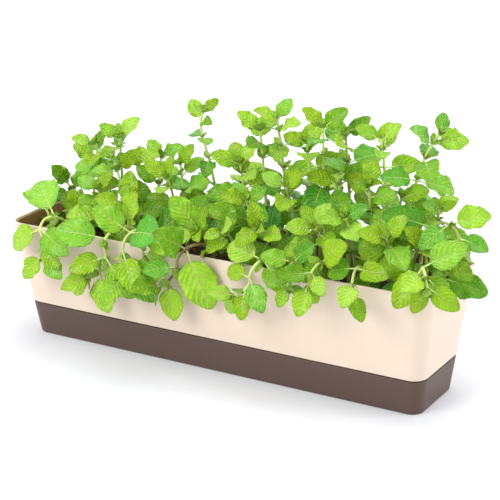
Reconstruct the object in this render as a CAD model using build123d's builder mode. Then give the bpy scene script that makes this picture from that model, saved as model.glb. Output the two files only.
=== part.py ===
from build123d import *
import math
import os
from collections import namedtuple

import numpy as np

# An indoor herb planter for a window sill: a water tray, a box that stands in it,
# an inner pot full of soil that lifts out of the box, and the herbs that grow in it.
# Lengths are in mm, angles in degrees. +X runs along the planter, -Y faces the room,
# +Z is up, and the origin is the middle of the tray's underside.

# Outline of the tray and the box together
rim_length = 406
rim_width = 99
base_length = 379
base_width = 68
pot_height = 107
rim_corner_radius = 15
base_corner_radius = 11

# Water tray
tray_height = 30.2
tray_wall = 2.2
tray_floor = 3
shelf_height = 19
shelf_width = 3.5
tray_edge_round = 2.5
foot_recess = 1.2
foot_width = 7
foot_rib_width = 6
foot_rib_count = 5

# Outer box
seam_gap = 1.2
seam_round = 0.5
nest_gap = 0.4
box_wall = 2.2
skirt_wall = 2
ledge_width = 8
ledge_thickness = 2.4
rim_round = 0.7

# Inner pot
liner_gap = 0.5
liner_wall = 1.6
liner_floor = 2
liner_rim_drop = 1
liner_rim_round = 0.5
well_count = 3
well_length = 60
well_width = 34
well_corner_radius = 6
well_taper = 3
well_wall = 1.6
well_clearance = 3
drain_hole_radius = 2.5
drain_row_spacing = 18
well_slot_length = 24
well_slot_width = 2.5
well_slot_spacing = 8
well_slots = 3

# Soil
soil_drop = 22
soil_gap = 0.3

# Stems and leaves
stem_radius = 1.1
stem_depth = 9
stem_pocket_gap = 0.2
stalk_gap = 0.05
bud_length = 2
tip_internode = 9
internode_growth = 5.5
bare_stem = 14
leaf_length = 30
leaf_size_step = 1.5
leaf_width_share = 0.78
leaf_arch_share = 2.3
leaf_thickness = 0.8
stalk_length_share = 0.26
stalk_width = 1.6
leaf_gap = 0.5
leaf_to_pot_gap = 1.5
stem_piece_length = 9
fewest_stem_pieces = 2
shortest_leaf_steps = 4

overrun = 5

# Each sprig: its name, its root as shares of the rim's half length and half width, the
# points its stem passes through as shares of those and of the pot's height, the size of
# its leaves as a share of leaf_length, and the angle of its topmost pair of leaves.
sprig_shares = (
    ("herb_left_1", (-0.80, 0.20), ((-0.87, 0.10, 1.24),), 1.05, 30),
    ("herb_left_2", (-0.68, 0.45), ((-0.72, 0.15, 1.60),), 0.85, 60),
    ("herb_left_3", (-0.60, 0.30), ((-0.57, 0.10, 1.70),), 0.95, 0),
    ("herb_left_4", (-0.52, 0.00), ((-0.58, -0.05, 1.52),), 0.90, 40),
    ("herb_left_5", (-0.88, -0.30), ((-0.97, -0.20, 1.10),), 1.00, 70),
    ("herb_left_6", (-0.66, -0.30), ((-0.70, -0.45, 1.12),), 1.15, 10),
    ("herb_left_7", (-0.56, -0.45), ((-0.58, -0.55, 1.34),), 1.00, 50),
    ("herb_drooping_1", (-0.72, -0.45),
     ((-0.76, -0.98, 1.10), (-0.77, -1.20, 0.98), (-0.76, -1.24, 0.80)), 1.15, 10),
    ("herb_drooping_2", (-0.36, -0.35),
     ((-0.40, -0.98, 1.12), (-0.44, -1.20, 0.95), (-0.52, -1.24, 0.70)), 1.25, 40),
    ("herb_drooping_3", (-0.28, -0.40),
     ((-0.31, -0.98, 1.12), (-0.34, -1.22, 0.95), (-0.35, -1.24, 0.74)), 1.35, 80),
    ("herb_drooping_4", (0.03, -0.45),
     ((-0.02, -0.98, 1.09), (-0.08, -1.20, 0.95), (-0.16, -1.26, 0.74)), 1.40, 30),
    ("herb_drooping_5", (-0.16, -0.45), ((-0.20, -1.00, 1.14), (-0.23, -1.28, 0.98)), 1.25, 0),
    ("herb_drooping_6", (0.34, -0.50),
     ((0.31, -0.98, 1.08), (0.26, -1.20, 0.94), (0.19, -1.24, 0.78)), 0.95, 70),
    ("herb_drooping_7", (0.42, -0.50), ((0.43, -0.98, 1.09), (0.45, -1.32, 0.95)), 0.85, 20),
    ("herb_drooping_8", (0.56, -0.45), ((0.55, -0.98, 1.12), (0.54, -1.34, 0.99)), 1.05, 60),
    ("herb_drooping_9", (0.70, -0.45), ((0.71, -0.98, 1.14), (0.73, -1.34, 0.98)), 0.95, 15),
    ("herb_drooping_10", (0.90, -0.45), ((0.96, -0.90, 1.20), (1.02, -1.24, 1.11)), 1.10, 45),
    ("herb_drooping_11", (0.80, 0.05), ((0.94, -0.20, 1.42), (1.06, -0.42, 1.28)), 1.00, 20),
    ("herb_drooping_12", (0.94, -0.20), ((1.00, -0.55, 1.24), (1.04, -0.82, 1.20)), 0.95, 60),
    ("herb_middle_1", (-0.42, -0.10), ((-0.42, -0.75, 1.28),), 1.00, 10),
    ("herb_middle_2", (-0.32, 0.35), ((-0.33, 0.10, 1.42),), 1.05, 30),
    ("herb_middle_3", (-0.24, 0.10), ((-0.26, 0.08, 1.55),), 1.00, 60),
    ("herb_middle_4", (-0.06, -0.20), ((-0.04, -0.85, 1.18),), 1.30, 45),
    ("herb_middle_5", (0.08, -0.30), ((0.08, -0.85, 1.22),), 0.95, 10),
    ("herb_middle_6", (0.02, 0.40), ((0.03, 0.10, 1.62),), 1.10, 45),
    ("herb_middle_7", (0.12, 0.00), ((0.14, -0.45, 1.42),), 1.10, 20),
    ("herb_middle_8", (0.24, -0.15), ((0.24, -0.80, 1.28),), 1.05, 70),
    ("herb_middle_9", (0.30, 0.10), ((0.30, -0.30, 1.55),), 1.00, 10),
    ("herb_middle_10", (0.46, -0.15), ((0.48, -0.70, 1.34),), 1.00, 50),
    ("herb_middle_11", (0.58, -0.05), ((0.60, -0.60, 1.44),), 1.05, 20),
    ("herb_middle_12", (0.62, 0.20), ((0.64, -0.10, 1.62),), 1.00, 70),
    ("herb_middle_13", (0.76, -0.15), ((0.78, -0.65, 1.34),), 1.05, 30),
    ("herb_middle_14", (0.88, 0.00), ((0.92, -0.45, 1.30),), 1.10, 0),
    ("herb_tall_1", (-0.12, 0.45), ((-0.16, 0.20, 1.75), (-0.14, 0.10, 2.00)), 0.75, 0),
    ("herb_tall_2", (0.12, 0.35), ((0.12, 0.15, 1.90),), 1.05, 30),
    ("herb_tall_3", (0.20, 0.50), ((0.20, 0.15, 2.00),), 0.95, 70),
    ("herb_tall_4", (0.33, 0.45), ((0.34, 0.10, 1.86),), 1.00, 20),
    ("herb_tall_5", (0.41, 0.20), ((0.42, 0.05, 2.00),), 1.05, 0),
    ("herb_tall_6", (0.49, 0.50), ((0.50, 0.20, 1.94),), 1.10, 45),
    ("herb_tall_7", (0.53, 0.10), ((0.50, -0.10, 1.68),), 1.10, 0),
    ("herb_tall_8", (0.66, 0.50), ((0.66, 0.15, 1.95),), 0.90, 20),
    ("herb_tall_9", (0.74, 0.30), ((0.82, 0.15, 1.72), (0.91, 0.10, 2.05)), 0.95, 40),
    ("herb_tall_10", (0.72, 0.05), ((0.77, 0.00, 1.56),), 1.05, 60),
    ("herb_tall_11", (0.86, 0.40), ((0.91, 0.15, 1.48),), 0.70, 0),
    ("herb_back_1", (-0.82, 0.60), ((-0.86, 0.90, 1.34),), 1.00, 30),
    ("herb_back_2", (-0.48, 0.62), ((-0.50, 0.95, 1.45),), 1.00, 10),
    ("herb_back_3", (-0.28, 0.66), ((-0.29, 1.05, 1.14), (-0.28, 1.34, 1.00)), 1.00, 20),
    ("herb_back_4", (-0.06, 0.66), ((-0.08, 1.00, 1.40),), 1.00, 60),
    ("herb_back_5", (0.32, 0.70), ((0.32, 1.05, 1.45),), 1.00, 0),
    ("herb_back_6", (0.58, 0.72), ((0.59, 1.05, 1.14), (0.60, 1.34, 1.00)), 1.00, 50),
    ("herb_back_7", (0.78, 0.62), ((0.80, 0.98, 1.36),), 1.00, 25),
)

# Outline of a leaf from its base, as shares of its length and its width
leaf_shoulder_shares = (0.09, 0.31)
leaf_widest_shares = (0.40, 0.50)
leaf_forward_shares = (0.78, 0.35)

# Slices of a leaf that keep it clear of its neighbours: from, to, half width
leaf_slice_shares = ((0.0, 0.3, 0.42), (0.3, 0.7, 0.50), (0.7, 1.0, 0.33))
leaf_sample_shares = (0, 0.1, 0.25, 0.4, 0.55, 0.7, 0.85, 1)
leaf_side_shares = (-1, -0.5, 0, 0.5, 1)

# How a leaf turns aside, lifts or stays smaller where it has no room, tried in order
room_tries_shares = (
    (0, 0, 1), (18, 0, 1), (-18, 0, 1), (0, 16, 1), (0, -16, 1), (34, 0, 0.9), (-34, 0, 0.9),
    (20, 20, 0.85), (-20, -20, 0.85), (50, 0, 0.8), (-50, 0, 0.8), (0, 0, 0.7),
    (25, 25, 0.65), (-25, -25, 0.65),
)

# Leaves turn to the window light, outward from the planter, and a little each its own way
light_share = np.array([0.30, -0.70, 0.75])
outward_shares = np.array([0.21, 0.35, 0.0])
own_way_share = 0.3
sag_share = 0.25
young_size_share = 0.62
young_pairs = 3
open_angle = 84
young_angle = 44
uneven_turn = 16
uneven_angle = 9
uneven_size_share = 0.12
least_light_share = 0.3
pair_turn = 90
opposite_turn = 180
side_line_shares = np.array([0.01, -0.02, 1.0])
uneven_step_shares = (0.7548777, 0.5698403, 0.3247180)
up = np.array([0.0, 0.0, 1.0])

# Heights and insets that follow from the sizes above
seam_top = tray_height + seam_gap
ledge_top = seam_top + ledge_thickness
skirt_inset = tray_wall + nest_gap
liner_inset = box_wall + liner_gap
soil_inset = liner_inset + liner_wall
liner_top = pot_height - liner_rim_drop
liner_floor_top = ledge_top + liner_floor
well_bottom = tray_floor + well_clearance
soil_level = pot_height - soil_drop
opening_length = base_length - 2 * (tray_wall + ledge_width)
opening_width = base_width - 2 * (tray_wall + ledge_width)
well_spacing = opening_length / well_count

Leaf = namedtuple("Leaf", "point axis normal length")
Box3 = namedtuple("Box3", "centre axes half")


def between(base, rim, height):
    """a size of the sloping outline at a height"""
    return base + (rim - base) * height / pot_height


def length_at(height):
    return between(base_length, rim_length, height)


def width_at(height):
    return between(base_width, rim_width, height)


def corner_at(height):
    return between(base_corner_radius, rim_corner_radius, height)


def tapered_block(low, high, inset):
    """a solid block between two heights that keeps to the sloping walls, drawn in by inset"""
    with BuildPart() as block:
        for height in (low, high):
            with BuildSketch(Plane.XY.offset(height)):
                RectangleRounded(
                    length_at(height) - 2 * inset, width_at(height) - 2 * inset, corner_at(height) - inset
                )
        loft(ruled=True)
    return block.part


def well_block(low, high, inset):
    """the block of one well, narrower at its bottom, drawn in by inset"""
    with BuildPart() as block:
        for height in (low, high):
            taper = well_taper * (ledge_top - height) / (ledge_top - well_bottom)
            draw_in = inset + max(taper, 0)
            with BuildSketch(Plane.XY.offset(height)):
                RectangleRounded(
                    well_length - 2 * draw_in, well_width - 2 * draw_in, well_corner_radius - inset
                )
        loft(ruled=True)
    return block.part


well_places = GridLocations(well_spacing, 0, well_count, 1).locations
gap_places = GridLocations(well_spacing, 0, well_count - 1, 1).locations


def unit(vector):
    return vector / np.linalg.norm(vector)


def sine(angle):
    return math.sin(math.radians(angle))


def cosine(angle):
    return math.cos(math.radians(angle))


def uneven(*counts):
    """an uneven number between -1 and 1, the same each time for the same counts"""
    whole = sum(count * step for count, step in zip(counts, uneven_step_shares))
    return 2 * (whole - math.floor(whole)) - 1


class StemArc:
    """a plane arc that starts along a direction and ends at a point"""

    def __init__(self, start, direction, end):
        chord = end - start
        ahead = chord.dot(direction)
        aside = chord - direction * ahead
        half_turn = math.atan2(np.linalg.norm(aside), ahead)
        self.start = start
        self.direction = direction
        self.side = unit(aside)
        self.radius = np.linalg.norm(chord) / (2 * math.sin(half_turn))
        self.length = 2 * half_turn * self.radius

    def at(self, distance):
        """the point and the direction at a distance from the start"""
        turn = distance / self.radius
        point = (
            self.start
            + self.direction * self.radius * math.sin(turn)
            + self.side * self.radius * (1 - math.cos(turn))
        )
        return point, self.direction * math.cos(turn) + self.side * math.sin(turn)


class Stem:
    """a stem that leaves the soil straight up and follows tangent arcs through its points"""

    def __init__(self, root_shares, point_shares):
        half_sizes = np.array([rim_length / 2, rim_width / 2, pot_height])
        self.root = np.array([root_shares[0] * half_sizes[0], root_shares[1] * half_sizes[1], soil_level])
        self.points = [self.root] + [np.array(shares) * half_sizes for shares in point_shares]
        self.arcs = []
        direction = up
        for start, end in zip(self.points, self.points[1:]):
            arc = StemArc(start, direction, end)
            self.arcs.append(arc)
            direction = arc.at(arc.length)[1]
        self.length = sum(arc.length for arc in self.arcs)

    def at(self, distance):
        for arc in self.arcs[:-1]:
            if distance <= arc.length:
                return arc.at(distance)
            distance -= arc.length
        return self.arcs[-1].at(distance)

    def boxes(self):
        """short straight boxes round the stem"""
        count = max(fewest_stem_pieces, round(self.length / stem_piece_length))
        places = [self.at(self.length * step / count)[0] for step in range(count + 1)]
        found = []
        for low, high in zip(places, places[1:]):
            axis = unit(high - low)
            side = unit(np.cross(axis, light_share))
            half = np.array([np.linalg.norm(high - low) / 2, stem_radius, stem_radius]) + leaf_gap / 2
            found.append(Box3((low + high) / 2, np.array([axis, side, np.cross(axis, side)]), half))
        return found


class Room:
    """the space that stems and leaves have taken, as boxes that lie at any angle"""

    def __init__(self):
        self.centres = np.zeros((0, 3))
        self.axes = np.zeros((0, 3, 3))
        self.halves = np.zeros((0, 3))
        self.owners = np.zeros((0, 2), dtype=int)

    def take(self, boxes, sprig, pair):
        self.centres = np.append(self.centres, [box.centre for box in boxes], axis=0)
        self.axes = np.append(self.axes, [box.axes for box in boxes], axis=0)
        self.halves = np.append(self.halves, [box.half for box in boxes], axis=0)
        self.owners = np.append(self.owners, [(sprig, pair)] * len(boxes), axis=0)

    def is_free(self, boxes, sprig, pair):
        """whether boxes meet nothing but their own stem and their own pair of leaves"""
        own = (self.owners[:, 0] == sprig) & ((self.owners[:, 1] < 0) | (self.owners[:, 1] == pair))
        return not any(self.meets(box, ~own) for box in boxes)

    def meets(self, box, others):
        """separating axis test of one box against the others that lie near it"""
        gaps = self.centres - box.centre
        reach = np.linalg.norm(box.half) + np.linalg.norm(self.halves, axis=1)
        near = others & (np.linalg.norm(gaps, axis=1) < reach)
        gaps, axes, halves = gaps[near], self.axes[near], self.halves[near]
        turns = np.einsum("ij,nkj->nik", box.axes, axes)
        sizes = np.abs(turns)
        own_gaps = gaps @ box.axes.T
        their_gaps = np.einsum("nkj,nj->nk", axes, gaps)
        apart = (np.abs(own_gaps) > box.half + np.einsum("nik,nk->ni", sizes, halves)).any(axis=1)
        apart |= (np.abs(their_gaps) > halves + np.einsum("nik,i->nk", sizes, box.half)).any(axis=1)
        for i in range(3):
            j, k = (i + 1) % 3, (i + 2) % 3
            for m in range(3):
                n, p = (m + 1) % 3, (m + 2) % 3
                own = box.half[j] * sizes[:, k, m] + box.half[k] * sizes[:, j, m]
                their = halves[:, n] * sizes[:, i, p] + halves[:, p] * sizes[:, i, n]
                span = own_gaps[:, k] * turns[:, j, m] - own_gaps[:, j] * turns[:, k, m]
                apart |= np.abs(span) > own + their
        return not apart.all()


def leaf_drop(length, share):
    """how far the arched blade lies below its base at a share of its length"""
    return length * share**2 / (2 * leaf_arch_share)


def leaf_boxes(leaf):
    """the stalk and slices of the blade as boxes"""
    side = np.cross(leaf.normal, leaf.axis)
    axes = np.array([leaf.axis, side, leaf.normal])
    stalk = stalk_length_share * leaf.length
    spans = [(2 * stem_radius, stalk, stalk_width / 2, 0, 0)]
    for low, high, half_width in leaf_slice_shares:
        spans.append((
            stalk + low * leaf.length,
            stalk + high * leaf.length,
            half_width * leaf_width_share * leaf.length,
            leaf_drop(leaf.length, low),
            leaf_drop(leaf.length, high),
        ))
    found = []
    for low, high, half_width, top, bottom in spans:
        centre = leaf.point + leaf.axis * (low + high) / 2 - leaf.normal * (top + bottom) / 2
        half = np.array([(high - low) / 2, half_width, (bottom - top + leaf_thickness) / 2])
        found.append(Box3(centre, axes, half + leaf_gap / 2))
    return found


def leaf_half_width(share):
    """half the width at a share of the length, straight from one place of the outline to the next"""
    places = ((0, 0), leaf_shoulder_shares, leaf_widest_shares, leaf_forward_shares, (1, 0))
    return np.interp(share, [along for along, across in places], [across for along, across in places])


def leaf_points(leaf):
    """points all over the blade and along the stalk"""
    side = np.cross(leaf.normal, leaf.axis)
    stalk = stalk_length_share * leaf.length
    found = [leaf.point + leaf.axis * stalk / 2]
    for share in leaf_sample_shares:
        middle = leaf.point + leaf.axis * (stalk + share * leaf.length)
        middle = middle - leaf.normal * leaf_drop(leaf.length, share)
        spread = leaf_half_width(share) * leaf_width_share * leaf.length
        found.extend(middle + side * spread * across for across in leaf_side_shares)
    return found


def within(x, y, height, inset):
    """whether a place lies inside the rounded outline at a height, drawn in by inset"""
    radius = max(corner_at(height) - inset, 0)
    beyond_x = abs(x) - (length_at(height) / 2 - inset - radius)
    beyond_y = abs(y) - (width_at(height) / 2 - inset - radius)
    if max(beyond_x, beyond_y) > radius:
        return False
    return min(beyond_x, beyond_y) < 0 or math.hypot(beyond_x, beyond_y) < radius


def clear_of_pot(points):
    """a leaf keeps off the walls and the soil, and out of the rim's way when the pot lifts"""
    inside = outside = False
    for x, y, z in points:
        if z > pot_height + leaf_to_pot_gap:
            continue
        over_soil = z > soil_level + leaf_to_pot_gap
        if over_soil and within(x, y, min(z, pot_height), soil_inset + leaf_to_pot_gap):
            inside = True
        elif not within(x, y, pot_height, -leaf_to_pot_gap) and z > tray_height + leaf_to_pot_gap:
            outside = True
        else:
            return False
    return not (inside and outside)


def leaf_try(stem, distance, sprig, pair, half, size, turn, twist, lift, scale):
    """one leaf of a pair at a distance along the stem, or None where it lies edge on to the light"""
    point, tangent = stem.at(distance)
    young = max(0.0, 1 - pair / young_pairs)
    sideways = unit(np.cross(tangent, side_line_shares))
    forward = np.cross(tangent, sideways)
    around = turn + pair_turn * pair + opposite_turn * half + twist
    around = around + uneven_turn * uneven(sprig, pair, half)
    opening = open_angle + (young_angle - open_angle) * young - lift
    opening = opening + uneven_angle * uneven(pair, half, sprig)
    across = sideways * cosine(around) + forward * sine(around)
    axis = unit(across * sine(opening) + tangent * cosine(opening) - up * sag_share * (1 - young))
    outward = outward_shares * point / np.array([rim_length / 2, rim_width / 2, pot_height])
    own_way = np.array([uneven(sprig, pair, half + 5), uneven(sprig, pair, half + 9), 0])
    light = light_share + outward + own_way_share * own_way
    facing = light - axis * light.dot(axis)
    if np.linalg.norm(facing) < least_light_share:
        return None
    full = leaf_length * size * (1 + (young_size_share - 1) * young)
    full = full * scale * (1 + uneven_size_share * uneven(half, sprig, pair))
    length = leaf_size_step * max(shortest_leaf_steps, round(full / leaf_size_step))
    return Leaf(point, axis, unit(facing), length)


def grow(room, stem, sprig, size, turn):
    """pairs of leaves down from the tip, each where it finds room"""
    leaves = []
    pair = 0
    back = bud_length
    while back < stem.length - bare_stem:
        for half in (0, 1):
            for twist, lift, scale in room_tries_shares:
                leaf = leaf_try(stem, stem.length - back, sprig, pair, half, size, turn, twist, lift, scale)
                if leaf is None or not clear_of_pot(leaf_points(leaf)):
                    continue
                boxes = leaf_boxes(leaf)
                if room.is_free(boxes, sprig, pair):
                    room.take(boxes, sprig, pair)
                    leaves.append(leaf)
                    break
        back += tip_internode + internode_growth * pair
        pair += 1
    return leaves


def leaf_blade(length):
    """a leaf on its stalk along +X from the middle of the stem, its blade arched down to the tip"""
    stalk = stalk_length_share * length
    width = leaf_width_share * length
    arch = leaf_arch_share * length
    lower, upper = -leaf_thickness / 2, leaf_thickness / 2
    end_turn = math.asin((length + leaf_thickness) / arch)
    with BuildPart() as blade:
        with BuildSketch(Plane.XZ):
            with BuildLine():
                ends = []
                for level in (lower, upper):
                    radius = arch + level
                    end = (stalk + radius * math.sin(end_turn), radius * math.cos(end_turn) - arch)
                    Line((0, level), (stalk, level))
                    TangentArc((stalk, level), end, tangent=(1, 0))
                    ends.append(end)
                Line(ends[0], ends[1])
                Line((0, lower), (0, upper))
            make_face()
        extrude(amount=width, both=True)
        with BuildSketch(Plane.XY):
            with Locations((stalk, 0)):
                Rectangle(2 * stalk, stalk_width)
            with BuildLine():
                for side in (1, -1):
                    base, shoulder, widest, forward, tip = (
                        (stalk + along * length, side * across * width)
                        for along, across in (
                            (0, 0), leaf_shoulder_shares, leaf_widest_shares, leaf_forward_shares, (1, 0)
                        )
                    )
                    ThreePointArc(base, shoulder, widest)
                    ThreePointArc(widest, forward, tip)
            make_face()
        extrude(amount=length, both=True, mode=Mode.INTERSECT)
    return blade.part


def stem_rod(stem, radius):
    """a rod along a stem, from its foot in the soil to its tip"""
    foot = tuple(stem.root - up * stem_depth)
    with BuildPart() as rod:
        with BuildLine():
            Line(foot, tuple(stem.root))
            for arc, end in zip(stem.arcs, stem.points[1:]):
                TangentArc(tuple(arc.start), tuple(end), tangent=tuple(arc.direction))
        with BuildSketch(Plane(origin=foot)):
            Circle(radius)
        sweep()
    return rod.part


os.makedirs("parts", exist_ok=True)

# Water tray: a shallow tapered dish with a shelf that the box's skirt stands on
tray_outside = tapered_block(0, tray_height, 0)
tray_deep = tapered_block(tray_floor, shelf_height, tray_wall + shelf_width)
tray_wide = tapered_block(shelf_height, tray_height + overrun, tray_wall)
foot_hollow = tapered_block(-foot_recess, foot_recess, foot_width)
rib_pitch = base_length / (foot_rib_count + 1)

with BuildPart() as water_tray:
    add(tray_outside)
    fillet(water_tray.edges().group_by(Axis.Z)[0], tray_edge_round)
    fillet(water_tray.edges().group_by(Axis.Z)[-1], seam_round)
    add(tray_deep, mode=Mode.SUBTRACT)
    add(tray_wide, mode=Mode.SUBTRACT)
    add(foot_hollow, mode=Mode.SUBTRACT)
    with BuildSketch():
        with GridLocations(rib_pitch, 0, foot_rib_count, 1):
            Rectangle(foot_rib_width, base_width - 2 * foot_width + foot_recess)
        Rectangle(base_length - 2 * foot_width + foot_recess, foot_rib_width)
    extrude(amount=tray_floor)
water_tray.part.label = "water_tray"
export_step(water_tray.part, "parts/water_tray.step")

# Outer box: sloping walls, a skirt that nests in the tray, and a ledge for the inner pot
box_outside = tapered_block(seam_top, pot_height, 0)
box_skirt = tapered_block(shelf_height, seam_top, skirt_inset)
box_inside = tapered_block(ledge_top, pot_height + overrun, box_wall)
skirt_inside = tapered_block(shelf_height - overrun, seam_top, skirt_inset + skirt_wall)

with BuildPart() as outer_box:
    add(box_outside)
    fillet(outer_box.edges().group_by(Axis.Z)[0], seam_round)
    add(box_inside, mode=Mode.SUBTRACT)
    fillet(outer_box.edges().group_by(Axis.Z)[-1], rim_round)
    add(box_skirt)
    add(skirt_inside, mode=Mode.SUBTRACT)
    with BuildSketch(Plane.XY.offset(seam_top)):
        RectangleRounded(opening_length, opening_width, base_corner_radius)
    extrude(amount=ledge_thickness, mode=Mode.SUBTRACT)
outer_box.part.label = "outer_box"
export_step(outer_box.part, "parts/outer_box.step")

# Inner pot: stands on the ledge, its wells dip into the water, its floor drains
liner_outside = tapered_block(ledge_top, liner_top, liner_inset)
liner_inside = tapered_block(liner_floor_top, liner_top + overrun, soil_inset)
well_outside = well_block(well_bottom, liner_floor_top, 0)
well_inside = well_block(well_bottom + well_wall, liner_floor_top, well_wall)

with BuildPart() as inner_pot:
    add(liner_outside)
    add(liner_inside, mode=Mode.SUBTRACT)
    fillet(inner_pot.edges().group_by(Axis.Z)[-1], liner_rim_round)
    with Locations(well_places):
        add(well_outside)
    with Locations(well_places):
        add(well_inside, mode=Mode.SUBTRACT)
    with BuildSketch(Plane.XY.offset(well_bottom)):
        with Locations(well_places):
            with GridLocations(0, well_slot_spacing, 1, well_slots):
                SlotOverall(well_slot_length, well_slot_width)
    extrude(amount=well_wall, mode=Mode.SUBTRACT)
    with BuildSketch(Plane.XY.offset(ledge_top)):
        with Locations(gap_places):
            with GridLocations(drain_row_spacing, drain_row_spacing, 2, 2):
                Circle(drain_hole_radius)
    extrude(amount=liner_floor, mode=Mode.SUBTRACT)
inner_pot.part.label = "inner_pot"
export_step(inner_pot.part, "parts/inner_pot.step")

# Herbs: the stems come first, then the leaves where they find room. Each leaf is a solid of
# its own beside the stem's.
room = Room()
stems = [Stem(root, points) for name, root, points, size, turn in sprig_shares]
for sprig, stem in enumerate(stems):
    room.take(stem.boxes(), sprig, -1)

# Soil: fills the inner pot and its wells, with a pocket for each stem
soil_block = tapered_block(liner_floor_top, soil_level, soil_inset + soil_gap)
well_soil = well_block(well_bottom + well_wall, liner_floor_top, well_wall + soil_gap)
pocket_radius = stem_radius + stem_pocket_gap

with BuildPart() as soil:
    add(soil_block)
    with Locations(well_places):
        add(well_soil)
    with BuildSketch(Plane.XY.offset(soil_level)):
        with Locations([(stem.root[0], stem.root[1]) for stem in stems]):
            Circle(pocket_radius)
    extrude(amount=-stem_depth, mode=Mode.SUBTRACT)
soil.part.label = "soil"
export_step(soil.part, "parts/soil.step")

blades = {}
for sprig, (name, root, points, size, turn) in enumerate(sprig_shares):
    stem = stems[sprig]
    placed = []
    for leaf in grow(room, stem, sprig, size, turn):
        if leaf.length not in blades:
            blades[leaf.length] = leaf_blade(leaf.length)
        place = Plane(origin=tuple(leaf.point), x_dir=tuple(leaf.axis), z_dir=tuple(leaf.normal))
        placed.append(blades[leaf.length].moved(place.location))
    with BuildPart() as herb:
        add(placed)
        add(stem_rod(stem, stem_radius + stalk_gap), mode=Mode.SUBTRACT)
        add(stem_rod(stem, stem_radius))
    herb.part.label = name
    export_step(herb.part, f"parts/{name}.step")
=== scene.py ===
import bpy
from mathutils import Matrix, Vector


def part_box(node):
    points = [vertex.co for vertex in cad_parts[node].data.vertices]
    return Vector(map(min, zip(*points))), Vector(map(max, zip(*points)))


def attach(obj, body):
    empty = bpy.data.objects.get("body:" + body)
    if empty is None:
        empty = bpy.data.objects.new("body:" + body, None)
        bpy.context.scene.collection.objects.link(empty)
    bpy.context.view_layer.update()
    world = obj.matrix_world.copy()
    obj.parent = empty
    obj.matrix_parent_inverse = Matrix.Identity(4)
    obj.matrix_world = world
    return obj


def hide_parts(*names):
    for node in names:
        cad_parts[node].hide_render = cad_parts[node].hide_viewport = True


bl_info = {
    "name": "Indoor herb planter",
    "version": (1, 0, 0),
    "blender": (4, 5, 0),
    "location": "View3D > Sidebar > Planter",
    "description": "Finishes the pots of an indoor herb planter and grows its soil and herbs",
    "category": "Object",
}

import math
import random
from collections import namedtuple

import bpy
import numpy as np
from mathutils import Matrix, Vector, noise

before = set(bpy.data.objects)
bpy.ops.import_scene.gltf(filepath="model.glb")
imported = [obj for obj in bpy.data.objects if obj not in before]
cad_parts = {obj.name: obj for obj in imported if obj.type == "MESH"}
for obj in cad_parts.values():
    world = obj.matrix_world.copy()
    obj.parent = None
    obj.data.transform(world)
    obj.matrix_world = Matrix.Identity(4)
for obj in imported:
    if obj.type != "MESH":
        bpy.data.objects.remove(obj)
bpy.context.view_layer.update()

MM = 0.001
POT_BODY = "planted_pot"

# Outline of the tray and the box together
rim_length = 406
rim_width = 99
base_length = 379
base_width = 68
pot_height = 107
rim_corner_radius = 15
base_corner_radius = 11

# Water tray
tray_height = 30.2
tray_wall = 2.2
tray_floor = 3

# Outer box
seam_gap = 1.2
box_wall = 2.2
ledge_width = 8
ledge_thickness = 2.4

# Inner pot
liner_gap = 0.5
liner_wall = 1.6
liner_floor = 2
well_count = 3
well_length = 60
well_width = 34
well_corner_radius = 6
well_taper = 3
well_wall = 1.6
well_clearance = 3

# Soil
soil_drop = 22
soil_gap = 0.3

# Stems and leaves
stem_radius = 1.1
stem_depth = 9
bud_length = 2
tip_internode = 9
internode_growth = 5.5
bare_stem = 14
leaf_length = 30
leaf_size_step = 1.5
leaf_width_share = 0.78
leaf_arch_share = 2.3
leaf_thickness = 0.8
stalk_length_share = 0.26
stalk_width = 1.6
leaf_gap = 0.5
leaf_to_pot_gap = 1.5
stem_piece_length = 9
fewest_stem_pieces = 2
shortest_leaf_steps = 4


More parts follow.
